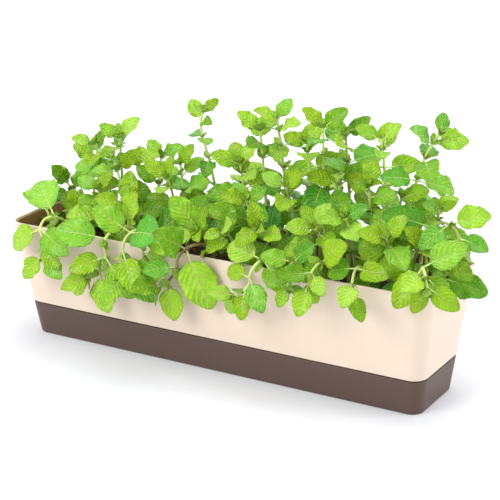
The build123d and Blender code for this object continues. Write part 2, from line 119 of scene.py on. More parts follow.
# Each group of sprigs, and for each sprig its root as shares of the rim's half length and
# half width, the points its stem passes through as shares of those and of the pot's height,
# the size of its leaves as a share of leaf_length, and the angle of its topmost pair.
sprig_shares = {
    "herb_left": (
        ((-0.80, 0.20), ((-0.87, 0.10, 1.24),), 1.05, 30),
        ((-0.68, 0.45), ((-0.72, 0.15, 1.60),), 0.85, 60),
        ((-0.60, 0.30), ((-0.57, 0.10, 1.70),), 0.95, 0),
        ((-0.52, 0.00), ((-0.58, -0.05, 1.52),), 0.90, 40),
        ((-0.88, -0.30), ((-0.97, -0.20, 1.10),), 1.00, 70),
        ((-0.66, -0.30), ((-0.70, -0.45, 1.12),), 1.15, 10),
        ((-0.56, -0.45), ((-0.58, -0.55, 1.34),), 1.00, 50),
    ),
    "herb_drooping": (
        ((-0.72, -0.45), ((-0.76, -0.98, 1.10), (-0.77, -1.20, 0.98), (-0.76, -1.24, 0.80)), 1.15, 10),
        ((-0.36, -0.35), ((-0.40, -0.98, 1.12), (-0.44, -1.20, 0.95), (-0.52, -1.24, 0.70)), 1.25, 40),
        ((-0.28, -0.40), ((-0.31, -0.98, 1.12), (-0.34, -1.22, 0.95), (-0.35, -1.24, 0.74)), 1.35, 80),
        ((0.03, -0.45), ((-0.02, -0.98, 1.09), (-0.08, -1.20, 0.95), (-0.16, -1.26, 0.74)), 1.40, 30),
        ((-0.16, -0.45), ((-0.20, -1.00, 1.14), (-0.23, -1.28, 0.98)), 1.25, 0),
        ((0.34, -0.50), ((0.31, -0.98, 1.08), (0.26, -1.20, 0.94), (0.19, -1.24, 0.78)), 0.95, 70),
        ((0.42, -0.50), ((0.43, -0.98, 1.09), (0.45, -1.32, 0.95)), 0.85, 20),
        ((0.56, -0.45), ((0.55, -0.98, 1.12), (0.54, -1.34, 0.99)), 1.05, 60),
        ((0.70, -0.45), ((0.71, -0.98, 1.14), (0.73, -1.34, 0.98)), 0.95, 15),
        ((0.90, -0.45), ((0.96, -0.90, 1.20), (1.02, -1.24, 1.11)), 1.10, 45),
        ((0.80, 0.05), ((0.94, -0.20, 1.42), (1.06, -0.42, 1.28)), 1.00, 20),
        ((0.94, -0.20), ((1.00, -0.55, 1.24), (1.04, -0.82, 1.20)), 0.95, 60),
    ),
    "herb_middle": (
        ((-0.42, -0.10), ((-0.42, -0.75, 1.28),), 1.00, 10),
        ((-0.32, 0.35), ((-0.33, 0.10, 1.42),), 1.05, 30),
        ((-0.24, 0.10), ((-0.26, 0.08, 1.55),), 1.00, 60),
        ((-0.06, -0.20), ((-0.04, -0.85, 1.18),), 1.30, 45),
        ((0.08, -0.30), ((0.08, -0.85, 1.22),), 0.95, 10),
        ((0.02, 0.40), ((0.03, 0.10, 1.62),), 1.10, 45),
        ((0.12, 0.00), ((0.14, -0.45, 1.42),), 1.10, 20),
        ((0.24, -0.15), ((0.24, -0.80, 1.28),), 1.05, 70),
        ((0.30, 0.10), ((0.30, -0.30, 1.55),), 1.00, 10),
        ((0.46, -0.15), ((0.48, -0.70, 1.34),), 1.00, 50),
        ((0.58, -0.05), ((0.60, -0.60, 1.44),), 1.05, 20),
        ((0.62, 0.20), ((0.64, -0.10, 1.62),), 1.00, 70),
        ((0.76, -0.15), ((0.78, -0.65, 1.34),), 1.05, 30),
        ((0.88, 0.00), ((0.92, -0.45, 1.30),), 1.10, 0),
    ),
    "herb_tall": (
        ((-0.12, 0.45), ((-0.16, 0.20, 1.75), (-0.14, 0.10, 2.00)), 0.75, 0),
        ((0.12, 0.35), ((0.12, 0.15, 1.90),), 1.05, 30),
        ((0.20, 0.50), ((0.20, 0.15, 2.00),), 0.95, 70),
        ((0.33, 0.45), ((0.34, 0.10, 1.86),), 1.00, 20),
        ((0.41, 0.20), ((0.42, 0.05, 2.00),), 1.05, 0),
        ((0.49, 0.50), ((0.50, 0.20, 1.94),), 1.10, 45),
        ((0.53, 0.10), ((0.50, -0.10, 1.68),), 1.10, 0),
        ((0.66, 0.50), ((0.66, 0.15, 1.95),), 0.90, 20),
        ((0.74, 0.30), ((0.82, 0.15, 1.72), (0.91, 0.10, 2.05)), 0.95, 40),
        ((0.72, 0.05), ((0.77, 0.00, 1.56),), 1.05, 60),
        ((0.86, 0.40), ((0.91, 0.15, 1.48),), 0.70, 0),
    ),
    "herb_back": (
        ((-0.82, 0.60), ((-0.86, 0.90, 1.34),), 1.00, 30),
        ((-0.48, 0.62), ((-0.50, 0.95, 1.45),), 1.00, 10),
        ((-0.28, 0.66), ((-0.29, 1.05, 1.14), (-0.28, 1.34, 1.00)), 1.00, 20),
        ((-0.06, 0.66), ((-0.08, 1.00, 1.40),), 1.00, 60),
        ((0.32, 0.70), ((0.32, 1.05, 1.45),), 1.00, 0),
        ((0.58, 0.72), ((0.59, 1.05, 1.14), (0.60, 1.34, 1.00)), 1.00, 50),
        ((0.78, 0.62), ((0.80, 0.98, 1.36),), 1.00, 25),
    ),
}
sprigs = [
    (f"{group}_{number}", *shares)
    for group, rows in sprig_shares.items()
    for number, shares in enumerate(rows, 1)
]

# Outline of a leaf from its base, as shares of its length and its width
leaf_shoulder_shares = (0.09, 0.31)
leaf_widest_shares = (0.40, 0.50)
leaf_forward_shares = (0.78, 0.35)

# Slices of a leaf that keep it clear of its neighbours: from, to, half width
leaf_slice_shares = ((0.0, 0.3, 0.42), (0.3, 0.7, 0.50), (0.7, 1.0, 0.33))
leaf_sample_shares = (0, 0.1, 0.25, 0.4, 0.55, 0.7, 0.85, 1)
leaf_side_shares = (-1, -0.5, 0, 0.5, 1)

# How a leaf turns aside, lifts or stays smaller where it has no room, tried in order
room_tries_shares = (
    (0, 0, 1), (18, 0, 1), (-18, 0, 1), (0, 16, 1), (0, -16, 1), (34, 0, 0.9), (-34, 0, 0.9),
    (20, 20, 0.85), (-20, -20, 0.85), (50, 0, 0.8), (-50, 0, 0.8), (0, 0, 0.7),
    (25, 25, 0.65), (-25, -25, 0.65),
)

# Leaves turn to the window light, outward from the planter, and a little each its own way
light_share = np.array([0.30, -0.70, 0.75])
outward_shares = np.array([0.21, 0.35, 0.0])
own_way_share = 0.3
sag_share = 0.25
young_size_share = 0.62
young_pairs = 3
open_angle = 84
young_angle = 44
uneven_turn = 16
uneven_angle = 9
uneven_size_share = 0.12
least_light_share = 0.3
pair_turn = 90
opposite_turn = 180
side_line_shares = np.array([0.01, -0.02, 1.0])
uneven_step_shares = (0.7548777, 0.5698403, 0.3247180)
up = np.array([0.0, 0.0, 1.0])

# Heights and insets that follow from the sizes above
seam_top = tray_height + seam_gap
ledge_top = seam_top + ledge_thickness
liner_inset = box_wall + liner_gap
soil_inset = liner_inset + liner_wall
liner_floor_top = ledge_top + liner_floor
well_bottom = tray_floor + well_clearance
soil_level = pot_height - soil_drop
opening_length = base_length - 2 * (tray_wall + ledge_width)
well_spacing = opening_length / well_count
half_sizes = np.array([rim_length / 2, rim_width / 2, pot_height])

Leaf = namedtuple("Leaf", "point axis normal length")
Box3 = namedtuple("Box3", "centre axes half")


def between(base, rim, height):
    """a size of the sloping outline at a height"""
    return base + (rim - base) * height / pot_height


def length_at(height):
    return between(base_length, rim_length, height)


def width_at(height):
    return between(base_width, rim_width, height)


def corner_at(height):
    return between(base_corner_radius, rim_corner_radius, height)


def unit(vector):
    return vector / np.linalg.norm(vector)


def sine(angle):
    return math.sin(math.radians(angle))


def cosine(angle):
    return math.cos(math.radians(angle))


def uneven(*counts):
    """an uneven number between -1 and 1, the same each time for the same counts"""
    whole = sum(count * step for count, step in zip(counts, uneven_step_shares))
    return 2 * (whole - math.floor(whole)) - 1


class StemArc:
    """a plane arc that starts along a direction and ends at a point"""

    def __init__(self, start, direction, end):
        chord = end - start
        ahead = chord.dot(direction)
        aside = chord - direction * ahead
        half_turn = math.atan2(np.linalg.norm(aside), ahead)
        self.start = start
        self.direction = direction
        self.side = unit(aside)
        self.radius = np.linalg.norm(chord) / (2 * math.sin(half_turn))
        self.length = 2 * half_turn * self.radius

    def at(self, distance):
        """the point and the direction at a distance from the start"""
        turn = distance / self.radius
        point = (
            self.start
            + self.direction * self.radius * math.sin(turn)
            + self.side * self.radius * (1 - math.cos(turn))
        )
        return point, self.direction * math.cos(turn) + self.side * math.sin(turn)


class Stem:
    """a stem that leaves the soil straight up and follows tangent arcs through its points"""

    def __init__(self, root_shares, point_shares):
        self.root = np.append(root_shares * half_sizes[:2], soil_level)
        points = [self.root] + [shares * half_sizes for shares in point_shares]
        self.arcs = []
        direction = up
        for start, end in zip(points, points[1:]):
            arc = StemArc(start, direction, end)
            self.arcs.append(arc)
            direction = arc.at(arc.length)[1]
        self.length = sum(arc.length for arc in self.arcs)

    def at(self, distance):
        for arc in self.arcs[:-1]:
            if distance <= arc.length:
                return arc.at(distance)
            distance -= arc.length
        return self.arcs[-1].at(distance)

    def boxes(self):
        """short straight boxes round the stem"""
        count = max(fewest_stem_pieces, round(self.length / stem_piece_length))
        places = [self.at(self.length * step / count)[0] for step in range(count + 1)]
        found = []
        for low, high in zip(places, places[1:]):
            axis = unit(high - low)
            side = unit(np.cross(axis, light_share))
            half = np.array([np.linalg.norm(high - low) / 2, stem_radius, stem_radius]) + leaf_gap / 2
            found.append(Box3((low + high) / 2, np.array([axis, side, np.cross(axis, side)]), half))
        return found


class Room:
    """the space that stems and leaves have taken, as boxes that lie at any angle"""

    def __init__(self):
        self.centres = np.zeros((0, 3))
        self.axes = np.zeros((0, 3, 3))
        self.halves = np.zeros((0, 3))
        self.owners = np.zeros((0, 2), dtype=int)

    def take(self, boxes, sprig, pair):
        self.centres = np.append(self.centres, [box.centre for box in boxes], axis=0)
        self.axes = np.append(self.axes, [box.axes for box in boxes], axis=0)
        self.halves = np.append(self.halves, [box.half for box in boxes], axis=0)
        self.owners = np.append(self.owners, [(sprig, pair)] * len(boxes), axis=0)

    def is_free(self, boxes, sprig, pair):
        """whether boxes meet nothing but their own stem and their own pair of leaves"""
        own = (self.owners[:, 0] == sprig) & ((self.owners[:, 1] < 0) | (self.owners[:, 1] == pair))
        return not any(self.meets(box, ~own) for box in boxes)

    def meets(self, box, others):
        """separating axis test of one box against the others that lie near it"""
        gaps = self.centres - box.centre
        reach = np.linalg.norm(box.half) + np.linalg.norm(self.halves, axis=1)
        near = others & (np.linalg.norm(gaps, axis=1) < reach)
        gaps, axes, halves = gaps[near], self.axes[near], self.halves[near]
        turns = np.einsum("ij,nkj->nik", box.axes, axes)
        sizes = np.abs(turns)
        own_gaps = gaps @ box.axes.T
        their_gaps = np.einsum("nkj,nj->nk", axes, gaps)
        apart = (np.abs(own_gaps) > box.half + np.einsum("nik,nk->ni", sizes, halves)).any(axis=1)
        apart |= (np.abs(their_gaps) > halves + np.einsum("nik,i->nk", sizes, box.half)).any(axis=1)
        for i in range(3):
            j, k = (i + 1) % 3, (i + 2) % 3
            for m in range(3):
                n, p = (m + 1) % 3, (m + 2) % 3
                own = box.half[j] * sizes[:, k, m] + box.half[k] * sizes[:, j, m]
                their = halves[:, n] * sizes[:, i, p] + halves[:, p] * sizes[:, i, n]
                span = own_gaps[:, k] * turns[:, j, m] - own_gaps[:, j] * turns[:, k, m]
                apart |= np.abs(span) > own + their
        return not apart.all()


def leaf_drop(length, share):
    """how far the arched blade lies below its base at a share of its length"""
    return length * share**2 / (2 * leaf_arch_share)


def leaf_axes(leaf):
    """along the leaf, across it and off its upper face"""
    return np.array([leaf.axis, np.cross(leaf.normal, leaf.axis), leaf.normal])


def leaf_boxes(leaf):
    """the stalk and slices of the blade as boxes"""
    stalk = stalk_length_share * leaf.length
    spans = [(2 * stem_radius, stalk, stalk_width / 2, 0, 0)]
    for low, high, half_width in leaf_slice_shares:
        spans.append((
            stalk + low * leaf.length,
            stalk + high * leaf.length,
            half_width * leaf_width_share * leaf.length,
            leaf_drop(leaf.length, low),
            leaf_drop(leaf.length, high),
        ))
    found = []
    for low, high, half_width, top, bottom in spans:
        centre = leaf.point + leaf.axis * (low + high) / 2 - leaf.normal * (top + bottom) / 2
        half = np.array([(high - low) / 2, half_width, (bottom - top + leaf_thickness) / 2])
        found.append(Box3(centre, leaf_axes(leaf), half + leaf_gap / 2))
    return found


def leaf_half_width(share):
    """half the width at a share of the length, straight from one place of the outline to the next"""
    places = ((0, 0), leaf_shoulder_shares, leaf_widest_shares, leaf_forward_shares, (1, 0))
    return np.interp(share, [along for along, across in places], [across for along, across in places])


def leaf_points(leaf):
    """points all over the blade and along the stalk"""
    side = leaf_axes(leaf)[1]
    stalk = stalk_length_share * leaf.length
    found = [leaf.point + leaf.axis * stalk / 2]
    for share in leaf_sample_shares:
        middle = leaf.point + leaf.axis * (stalk + share * leaf.length)
        middle = middle - leaf.normal * leaf_drop(leaf.length, share)
        spread = leaf_half_width(share) * leaf_width_share * leaf.length
        found.extend(middle + side * spread * across for across in leaf_side_shares)
    return found


def within(x, y, height, inset):
    """whether a place lies inside the rounded outline at a height, drawn in by inset"""
    radius = max(corner_at(height) - inset, 0)
    beyond_x = abs(x) - (length_at(height) / 2 - inset - radius)
    beyond_y = abs(y) - (width_at(height) / 2 - inset - radius)
    if max(beyond_x, beyond_y) > radius:
        return False
    return min(beyond_x, beyond_y) < 0 or math.hypot(beyond_x, beyond_y) < radius


def clear_of_pot(points):
    """a leaf keeps off the walls and the soil, and out of the rim's way when the pot lifts"""
    inside = outside = False
    for x, y, z in points:
        if z > pot_height + leaf_to_pot_gap:
            continue
        over_soil = z > soil_level + leaf_to_pot_gap
        if over_soil and within(x, y, min(z, pot_height), soil_inset + leaf_to_pot_gap):
            inside = True
        elif not within(x, y, pot_height, -leaf_to_pot_gap) and z > tray_height + leaf_to_pot_gap:
            outside = True
        else:
            return False
    return not (inside and outside)


def pair_places(stem):
    """distances along a stem at which its pairs of leaves grow, from the tip down"""
    back = bud_length
    pair = 0
    while back < stem.length - bare_stem:
        yield stem.length - back
        back += tip_internode + internode_growth * pair
        pair += 1


def stand_off(tangent, around, opening):
    """a direction that opens from the stem's own by an angle, turned round the stem"""
    sideways = unit(np.cross(tangent, side_line_shares))
    forward = np.cross(tangent, sideways)
    across = sideways * cosine(around) + forward * sine(around)
    return across * sine(opening) + tangent * cosine(opening)


def leaf_try(stem, distance, sprig, pair, half, size, turn, twist, lift, scale):
    """one leaf of a pair at a distance along the stem, or None where it lies edge on to the light"""
    point, tangent = stem.at(distance)
    young = max(0.0, 1 - pair / young_pairs)
    around = turn + pair_turn * pair + opposite_turn * half + twist
    around = around + uneven_turn * uneven(sprig, pair, half)
    opening = open_angle + (young_angle - open_angle) * young - lift
    opening = opening + uneven_angle * uneven(pair, half, sprig)
    axis = unit(stand_off(tangent, around, opening) - up * sag_share * (1 - young))
    outward = outward_shares * point / half_sizes
    own_way = np.array([uneven(sprig, pair, half + 5), uneven(sprig, pair, half + 9), 0])
    light = light_share + outward + own_way_share * own_way
    facing = light - axis * light.dot(axis)
    if np.linalg.norm(facing) < least_light_share:
        return None
    full = leaf_length * size * (1 + (young_size_share - 1) * young)
    full = full * scale * (1 + uneven_size_share * uneven(half, sprig, pair))
    length = leaf_size_step * max(shortest_leaf_steps, round(full / leaf_size_step))
    return Leaf(point, axis, unit(facing), length)


def grow(room, stem, sprig, size, turn):
    """pairs of leaves down from the tip, each where it finds room"""
    leaves = []
    for pair, distance in enumerate(pair_places(stem)):
        for half in (0, 1):
            for twist, lift, scale in room_tries_shares:
                leaf = leaf_try(stem, distance, sprig, pair, half, size, turn, twist, lift, scale)
                if leaf is None or not clear_of_pot(leaf_points(leaf)):
                    continue
                boxes = leaf_boxes(leaf)
                if room.is_free(boxes, sprig, pair):
                    room.take(boxes, sprig, pair)
                    leaves.append((leaf, pair, half))
                    break
    return leaves


# Finer shape of a leaf. The outline is a sine arch: the lean moves its widest place
# towards the stalk, and the sharpness draws both ends in. The rows of points crowd at both
# ends. The teeth fade over the last sixth. The side veins slant and arch forward, wander
# a little, and the blade is quilted between them.
outline_lean = 0.7565
outline_sharpness = 0.6
own_lean = 0.09
own_sharpness = 0.11
end_half_width_share = 0.012
arch_half_width_share = 0.488
narrowest_width_share = 0.90
own_width_share = 0.10
leaf_grid = (40, 11)
small_leaf_grid = (15, 7)
even_rows_share = 0.45
crowded_rows_share = 0.55
teeth = 9
tooth_rise_share = 0.7
tooth_fall_share = 0.3
tooth_depth_share = 0.075
teeth_fade = 6
blade_thickness = 0.35
quilting = 0.60
side_veins = 6.3
vein_slant = 0.40
vein_arch = 1.3
vein_wander = 0.34
vein_wander_turn = 5.1
vein_wander_own, vein_wander_side = 9, 2
vein_stagger = 0.5
edge_waves = 2.2
twist_start_share = 0.2

# A leaf's own fold, edge wave, curl and twist: the middle and how far a leaf differs, or the
# most, and how the curl grows along the blade
fold_middle, fold_span = 0.20, 0.16
wave_middle, wave_span = 0.052, 0.030
most_curl = 0.12
curl_power, curl_share = 3, 0.5
most_twist = 0.30

# A leaf's age from 0 to 1: at the tip of its stem, what each pair adds, and how far a
# sprig and a leaf differ
tip_age, pair_age, sprig_age, own_age = 0.12, 0.14, 0.34, 0.50

# Stems: the spacing, first side and number of sides of their rings, their radius at the
# soil and at the tip, how far they reach into the soil, and the knot at each pair of leaves
ring_spacing = 3
fewest_rings = 8
ring_start = (1.0, 0.3, 0.2)
stem_sides = 12
stem_squareness = 0.06
foot_share, tip_share = 1.3, 0.8
buried_share = 0.9
knot_share = 0.28
knot_length = 2.2

# How brown a stem is from 0 to 1: most of them, and the older ones
stem_brown = 0.12
brown_herbs = {"herb_drooping_4": 0.85, "herb_drooping_11": 0.55, "herb_drooping_12": 0.8, "herb_tall_6": 0.5}

# A leaf stalk runs on under the blade: its places along the blade, and its radii
stalk_sides = 6
stalk_sag = 0.2
stalk_place_shares = (0, 0.15, 0.35, 0.55, 0.75)
stalk_radii = (0.85, 0.65, 0.6, 0.5, 0.4, 0.3, 0.15)

# Small leaves beside most pairs of leaves and at the tip. Lengths are shares of leaf_length.
# The two on each side of a pair have a size, a turn and an opening each, and both angles
# are uneven. Pairs whose own number is under the limit have none.
small_leaf_share, small_leaf_span, topmost_share = 0.28, 0.09, 1.2
small_leaf_pairs = ((1, 0, 38), (0.62, 90, 24))
small_leaf_turn, small_leaf_opening = 12, 10
small_leaf_age, small_stalk_share = 0.1, 0.12
tip_leaf_share, tip_leaf_opening = 0.17, 20
tip_leaf_age, tip_stalk_share = 0.05, 0.05
bare_pair_limit = -0.35

# Counts and factors that keep the uneven numbers of different traits apart
stem_tone_count, sprig_age_count, bare_pair_count, small_size_count = 3, 7, 21, 22
small_leaf_count, tip_leaf_count = 30, 40
trait_factors = (1, 2, 3, 5, 7, 11, 13)

Piece = namedtuple("Piece", "points faces place nature material")
Character = namedtuple("Character", "teeth fold wave curl twist phase tone")


# Settings that a user would change


def colour_setting(name, description, default):
    return bpy.props.FloatVectorProperty(
        name=name, description=description, subtype="COLOR", size=3, min=0, max=1, default=default,
    )


def length_setting(name, description, default, least):
    return bpy.props.FloatProperty(
        name=name, description=description, subtype="DISTANCE", unit="LENGTH", min=least, default=default,
    )


def power_setting(name, description, default):
    return bpy.props.FloatProperty(
        name=name, description=description, subtype="POWER", unit="POWER", min=0, default=default,
    )


def strength_setting(name, description, default):
    return bpy.props.FloatProperty(name=name, description=description, min=0, default=default)


class PotSettings(bpy.types.PropertyGroup):
    box_colour: colour_setting("Box colour", "Cream plastic of the box", (0.845, 0.70, 0.565))
    tray_colour: colour_setting("Tray colour", "Taupe plastic of the water tray", (0.101, 0.061, 0.046))
    inner_pot_colour: colour_setting("Inner pot colour", "Tan plastic of the inner pot", (0.36, 0.185, 0.075))
    grain_size: length_setting("Grain size", "Size of the fine grain in the moulded plastic", 0.0009, 0.0001)


class SoilSettings(bpy.types.PropertyGroup):
    dark_colour: colour_setting("Damp soil", "Colour of the damp soil", (0.018, 0.010, 0.006))
    light_colour: colour_setting("Dry soil", "Colour of the dry crumbs", (0.105, 0.060, 0.033))
    bark_colour: colour_setting("Bark", "Colour of the bark chips", (0.26, 0.135, 0.060))
    lump_height: length_setting("Lump height", "How far the soil's lumps rise and fall", 0.0022, 0)
    chips: bpy.props.IntProperty(
        name="Bark chips", description="Number of bark chips on the soil", min=0, default=420,
    )


class HerbSettings(bpy.types.PropertyGroup):
    young_colour: colour_setting("Young leaf", "Yellow-green of the young leaves", (0.45, 0.83, 0.006))
    grown_colour: colour_setting("Grown leaf", "Green of the grown leaves", (0.055, 0.47, 0.003))
    underside_colour: colour_setting("Underside", "Pale green of the leaves' undersides", (0.46, 0.76, 0.12))
    vein_colour: colour_setting("Veins", "Pale green of the veins", (0.72, 0.86, 0.26))
    stem_colour: colour_setting("Stems", "Pale green of the stems", (0.66, 0.84, 0.25))
    brown_stem_colour: colour_setting("Brown stems", "Colour of the older, brown stems", (0.19, 0.085, 0.045))


class StageSettings(bpy.types.PropertyGroup):
    sky_strength: strength_setting("Sky", "Strength of the even light from all sides", 0.76)
    window_power: power_setting("Window light", "Power of the large soft light", 28.5)
    ceiling_power: power_setting("Ceiling light", "Power of the soft light over the herbs", 13.5)
    fill_power: power_setting("Fill light", "Power of the soft light at the end face", 12.5)
    floor_glow: strength_setting("Floor glow", "Lifts the floor to white where the camera sees it", 0.16)
    far_glow: strength_setting("Far glow", "The same far from the planter, where the lamps are weaker", 0.6)


class PlanterSettings(bpy.types.PropertyGroup):
    pots: bpy.props.PointerProperty(type=PotSettings)
    soil: bpy.props.PointerProperty(type=SoilSettings)
    herbs: bpy.props.PointerProperty(type=HerbSettings)
    stage: bpy.props.PointerProperty(type=StageSettings)


# Nodes and materials

COLOUR, NUMBER, VECTOR = "NodeSocketColor", "NodeSocketFloat", "NodeSocketVector"
WHITE = (1, 1, 1)


class NodeMaker:
    """adds nodes to a tree; an input takes a number, a colour or another node's output"""

    def __init__(self, tree):
        self.tree = tree

    def feed(self, socket, value):
        if isinstance(value, bpy.types.NodeSocket):
            self.tree.links.new(value, socket)
        elif socket.type == "RGBA":
            socket.default_value = (*tuple(value)[:3], 1)
        else:
            socket.default_value = value

    def set(self, node, **values):
        """names in values that are the node's inputs feed those, others are its own settings"""
        for name, value in values.items():
            label = name.replace("_", " ")
            if label in node.inputs:
                self.feed(node.inputs[label], value)
            else:
                setattr(node, name, value)
        return node

    def add(self, kind, **values):
        return self.set(self.tree.nodes.new(kind), **values)

    def math(self, operation, *values, clamp=False):
        made = self.add("ShaderNodeMath", operation=operation, use_clamp=clamp)
        for socket, value in zip(made.inputs, values):
            self.feed(socket, value)
        return made.outputs[0]

    def plus(self, first, second):
        return self.math("ADD", first, second)

    def minus(self, first, second):
        return self.math("SUBTRACT", first, second)

    def times(self, first, second):
        return self.math("MULTIPLY", first, second)

    def mix(self, factor, first, second):
        """a mix of two colours"""
        made = self.add("ShaderNodeMix", data_type="RGBA")
        for index, value in ((0, factor), (6, first), (7, second)):
            self.feed(made.inputs[index], value)
        return made.outputs[2]

    def ramp(self, value, low, high, from_low=0.0, from_high=1.0):
        """value from its own span to low..high, held at both ends"""
        made = self.add(
            "ShaderNodeMapRange", clamp=True,
            Value=value, From_Min=from_low, From_Max=from_high, To_Min=low, To_Max=high,
        )
        return made.outputs["Result"]

    def group(self, name, **values):
        """one of the shared groups"""
        return self.add("ShaderNodeGroup", node_tree=bpy.data.node_groups[name], **values).outputs

    def place(self):
        """the place on the object, in metres"""
        return self.add("ShaderNodeTexCoord").outputs["Object"]

    def attribute(self, name):
        """the three numbers that the mesh carries under a name"""
        return self.add("ShaderNodeAttribute", attribute_name=name).outputs["Vector"]

    def split(self, vector):
        return self.add("ShaderNodeSeparateXYZ", Vector=vector).outputs

    def noise(self, place, size, detail=4.0, roughness=0.55):
        """noise whose lumps are about size wide"""
        scale = self.math("DIVIDE", 1.0, size) if isinstance(size, bpy.types.NodeSocket) else 1 / size
        made = self.add("ShaderNodeTexNoise", Vector=place, Scale=scale, Detail=detail, Roughness=roughness)
        return made.outputs["Fac"]

    def cells(self, place, size, per_size=1.0, feature="F1"):
        """distance within cells, of which about per_size fit along size"""
        scale = self.math("DIVIDE", per_size, size)
        made = self.add("ShaderNodeTexVoronoi", feature=feature, Vector=place, Scale=scale)
        return made.outputs["Distance"]

    def shade(self, colour, **values):
        """a colour with its hue, saturation or value changed"""
        return self.add("ShaderNodeHueSaturation", Color=colour, **values).outputs["Color"]

    def bump(self, height, distance, strength=1.0):
        made = self.add("ShaderNodeBump", Strength=strength, Distance=distance, Height=height)
        return made.outputs["Normal"]


def new_group(name, inputs, outputs):
    """an empty node group with named sockets: its maker, what it is given and what it gives"""
    tree = bpy.data.node_groups.new(name, "ShaderNodeTree")
    for label, kind, default in inputs:
        socket = tree.interface.new_socket(label, in_out="INPUT", socket_type=kind)
        if default is not None:
            socket.default_value = default
    for label, kind in outputs:
        tree.interface.new_socket(label, in_out="OUTPUT", socket_type=kind)
    nodes = NodeMaker(tree)
    return nodes, nodes.add("NodeGroupInput").outputs, nodes.add("NodeGroupOutput")


# Moulded plastic: sizes in metres, and how much the marks count
flow_mark_size = 0.045
flow_stretch = (0.35, 0.35, 1.6)
cloud_size = 0.11
flow_tone_share, cloud_tone_share = 0.6, 0.4
flow_height_share, grain_height_share = 0.65, 0.35
grain_roughness = 0.03
mark_roughness = 1.2


def plastic_group():
    """moulded plastic: fine grain, faint flow marks and broad clouds of tone"""
    nodes, given, result = new_group(
        "Moulded plastic",
        (("Colour", COLOUR, (0.8, 0.8, 0.8, 1)), ("Grain Size", NUMBER, 0.001),
         ("Mottling", NUMBER, 0.05), ("Gloss", NUMBER, 0.4)),
        (("Colour", COLOUR), ("Roughness", NUMBER), ("Height", NUMBER)),
    )
    place = nodes.place()
    grain = nodes.noise(place, given["Grain Size"], detail=2.0)
    stretch = nodes.add("ShaderNodeMapping", Vector=place, Scale=flow_stretch)
    flow = nodes.noise(stretch.outputs["Vector"], flow_mark_size, detail=5.0)
    cloud = nodes.noise(place, cloud_size, detail=2.0)
    tone = nodes.plus(nodes.times(flow, flow_tone_share), nodes.times(cloud, cloud_tone_share))
    swing = nodes.times(nodes.minus(tone, 0.5), given["Mottling"])
    rough = nodes.plus(given["Gloss"], nodes.times(swing, mark_roughness))
    nodes.set(
        result,
        Colour=nodes.shade(given["Colour"], Value=nodes.plus(swing, 1.0)),
        Roughness=nodes.plus(rough, nodes.ramp(grain, -grain_roughness, grain_roughness)),
        Height=nodes.plus(nodes.times(grain, grain_height_share), nodes.times(flow, flow_height_share)),
    )


# Crumbs and plant skin: how many pits lie along a crumb and how deep they are, the span of
# noise between the two tones, and how far the patches swing the blend
pits_per_crumb, pit_depth_share = 1.4, 0.5
crumb_tone_span = 0.18
patch_swing = 0.9


def crumb_group():
    """dirt and bark: two tones broken up by noise, with pits between the crumbs"""
    nodes, given, result = new_group(
        "Crumbs",
        (("Dark", COLOUR, (0, 0, 0, 1)), ("Light", COLOUR, (*WHITE, 1)),
         ("Crumb Size", NUMBER, 0.003), ("Share of Light", NUMBER, 0.4)),
        (("Colour", COLOUR), ("Height", NUMBER)),
    )
    place = nodes.place()
    coarse = nodes.noise(place, given["Crumb Size"], detail=6.0, roughness=0.7)
    pits = nodes.cells(place, given["Crumb Size"], pits_per_crumb)
    share = given["Share of Light"]
    light = nodes.minus(1.0, nodes.ramp(coarse, 0.0, 1.0, share, nodes.plus(share, crumb_tone_span)))
    nodes.set(
        result,
        Colour=nodes.mix(light, given["Dark"], given["Light"]),
        Height=nodes.minus(coarse, nodes.times(pits, pit_depth_share)),
    )


def plant_group():
    """living skin: soft mottling between two colours and fine bumps in the height"""
    nodes, given, result = new_group(
        "Plant skin",
        (("First", COLOUR, (0, 1, 0, 1)), ("Second", COLOUR, (1, 1, 0, 1)),
         ("Blend", NUMBER, 0.5), ("Patch Size", NUMBER, 0.006)),
        (("Colour", COLOUR), ("Height", NUMBER)),
    )
    place = nodes.place()
    patches = nodes.minus(nodes.noise(place, given["Patch Size"], detail=3.0), 0.5)
    patches = nodes.times(patches, patch_swing)
    blend = nodes.math("ADD", given["Blend"], patches, clamp=True)
    nodes.set(
        result,
        Colour=nodes.mix(blend, given["First"], given["Second"]),
        Height=nodes.noise(place, skin_bump_size, detail=2.0),
    )


# Veins: the midrib's half width at the stalk and at the tip, as shares of the leaf's, and how
# far from its middle it is whole and gone, as shares of that. How far from its middle a side
# vein is whole and gone, as shares of the space between two, and what is left of it at the
# edge. How wide and strong the net is, and how much pads, veins and net count in the height.
midrib_width_shares = (0.035, 0.012)
midrib_edge_shares = (0.5, 1.5)
vein_width_shares = (0.012, 0.060)
vein_edge_share = 0.45
net_width_share = 0.12
net_share = 0.62
pad_height, vein_depth, net_depth = 1.6, 0.5, 0.40


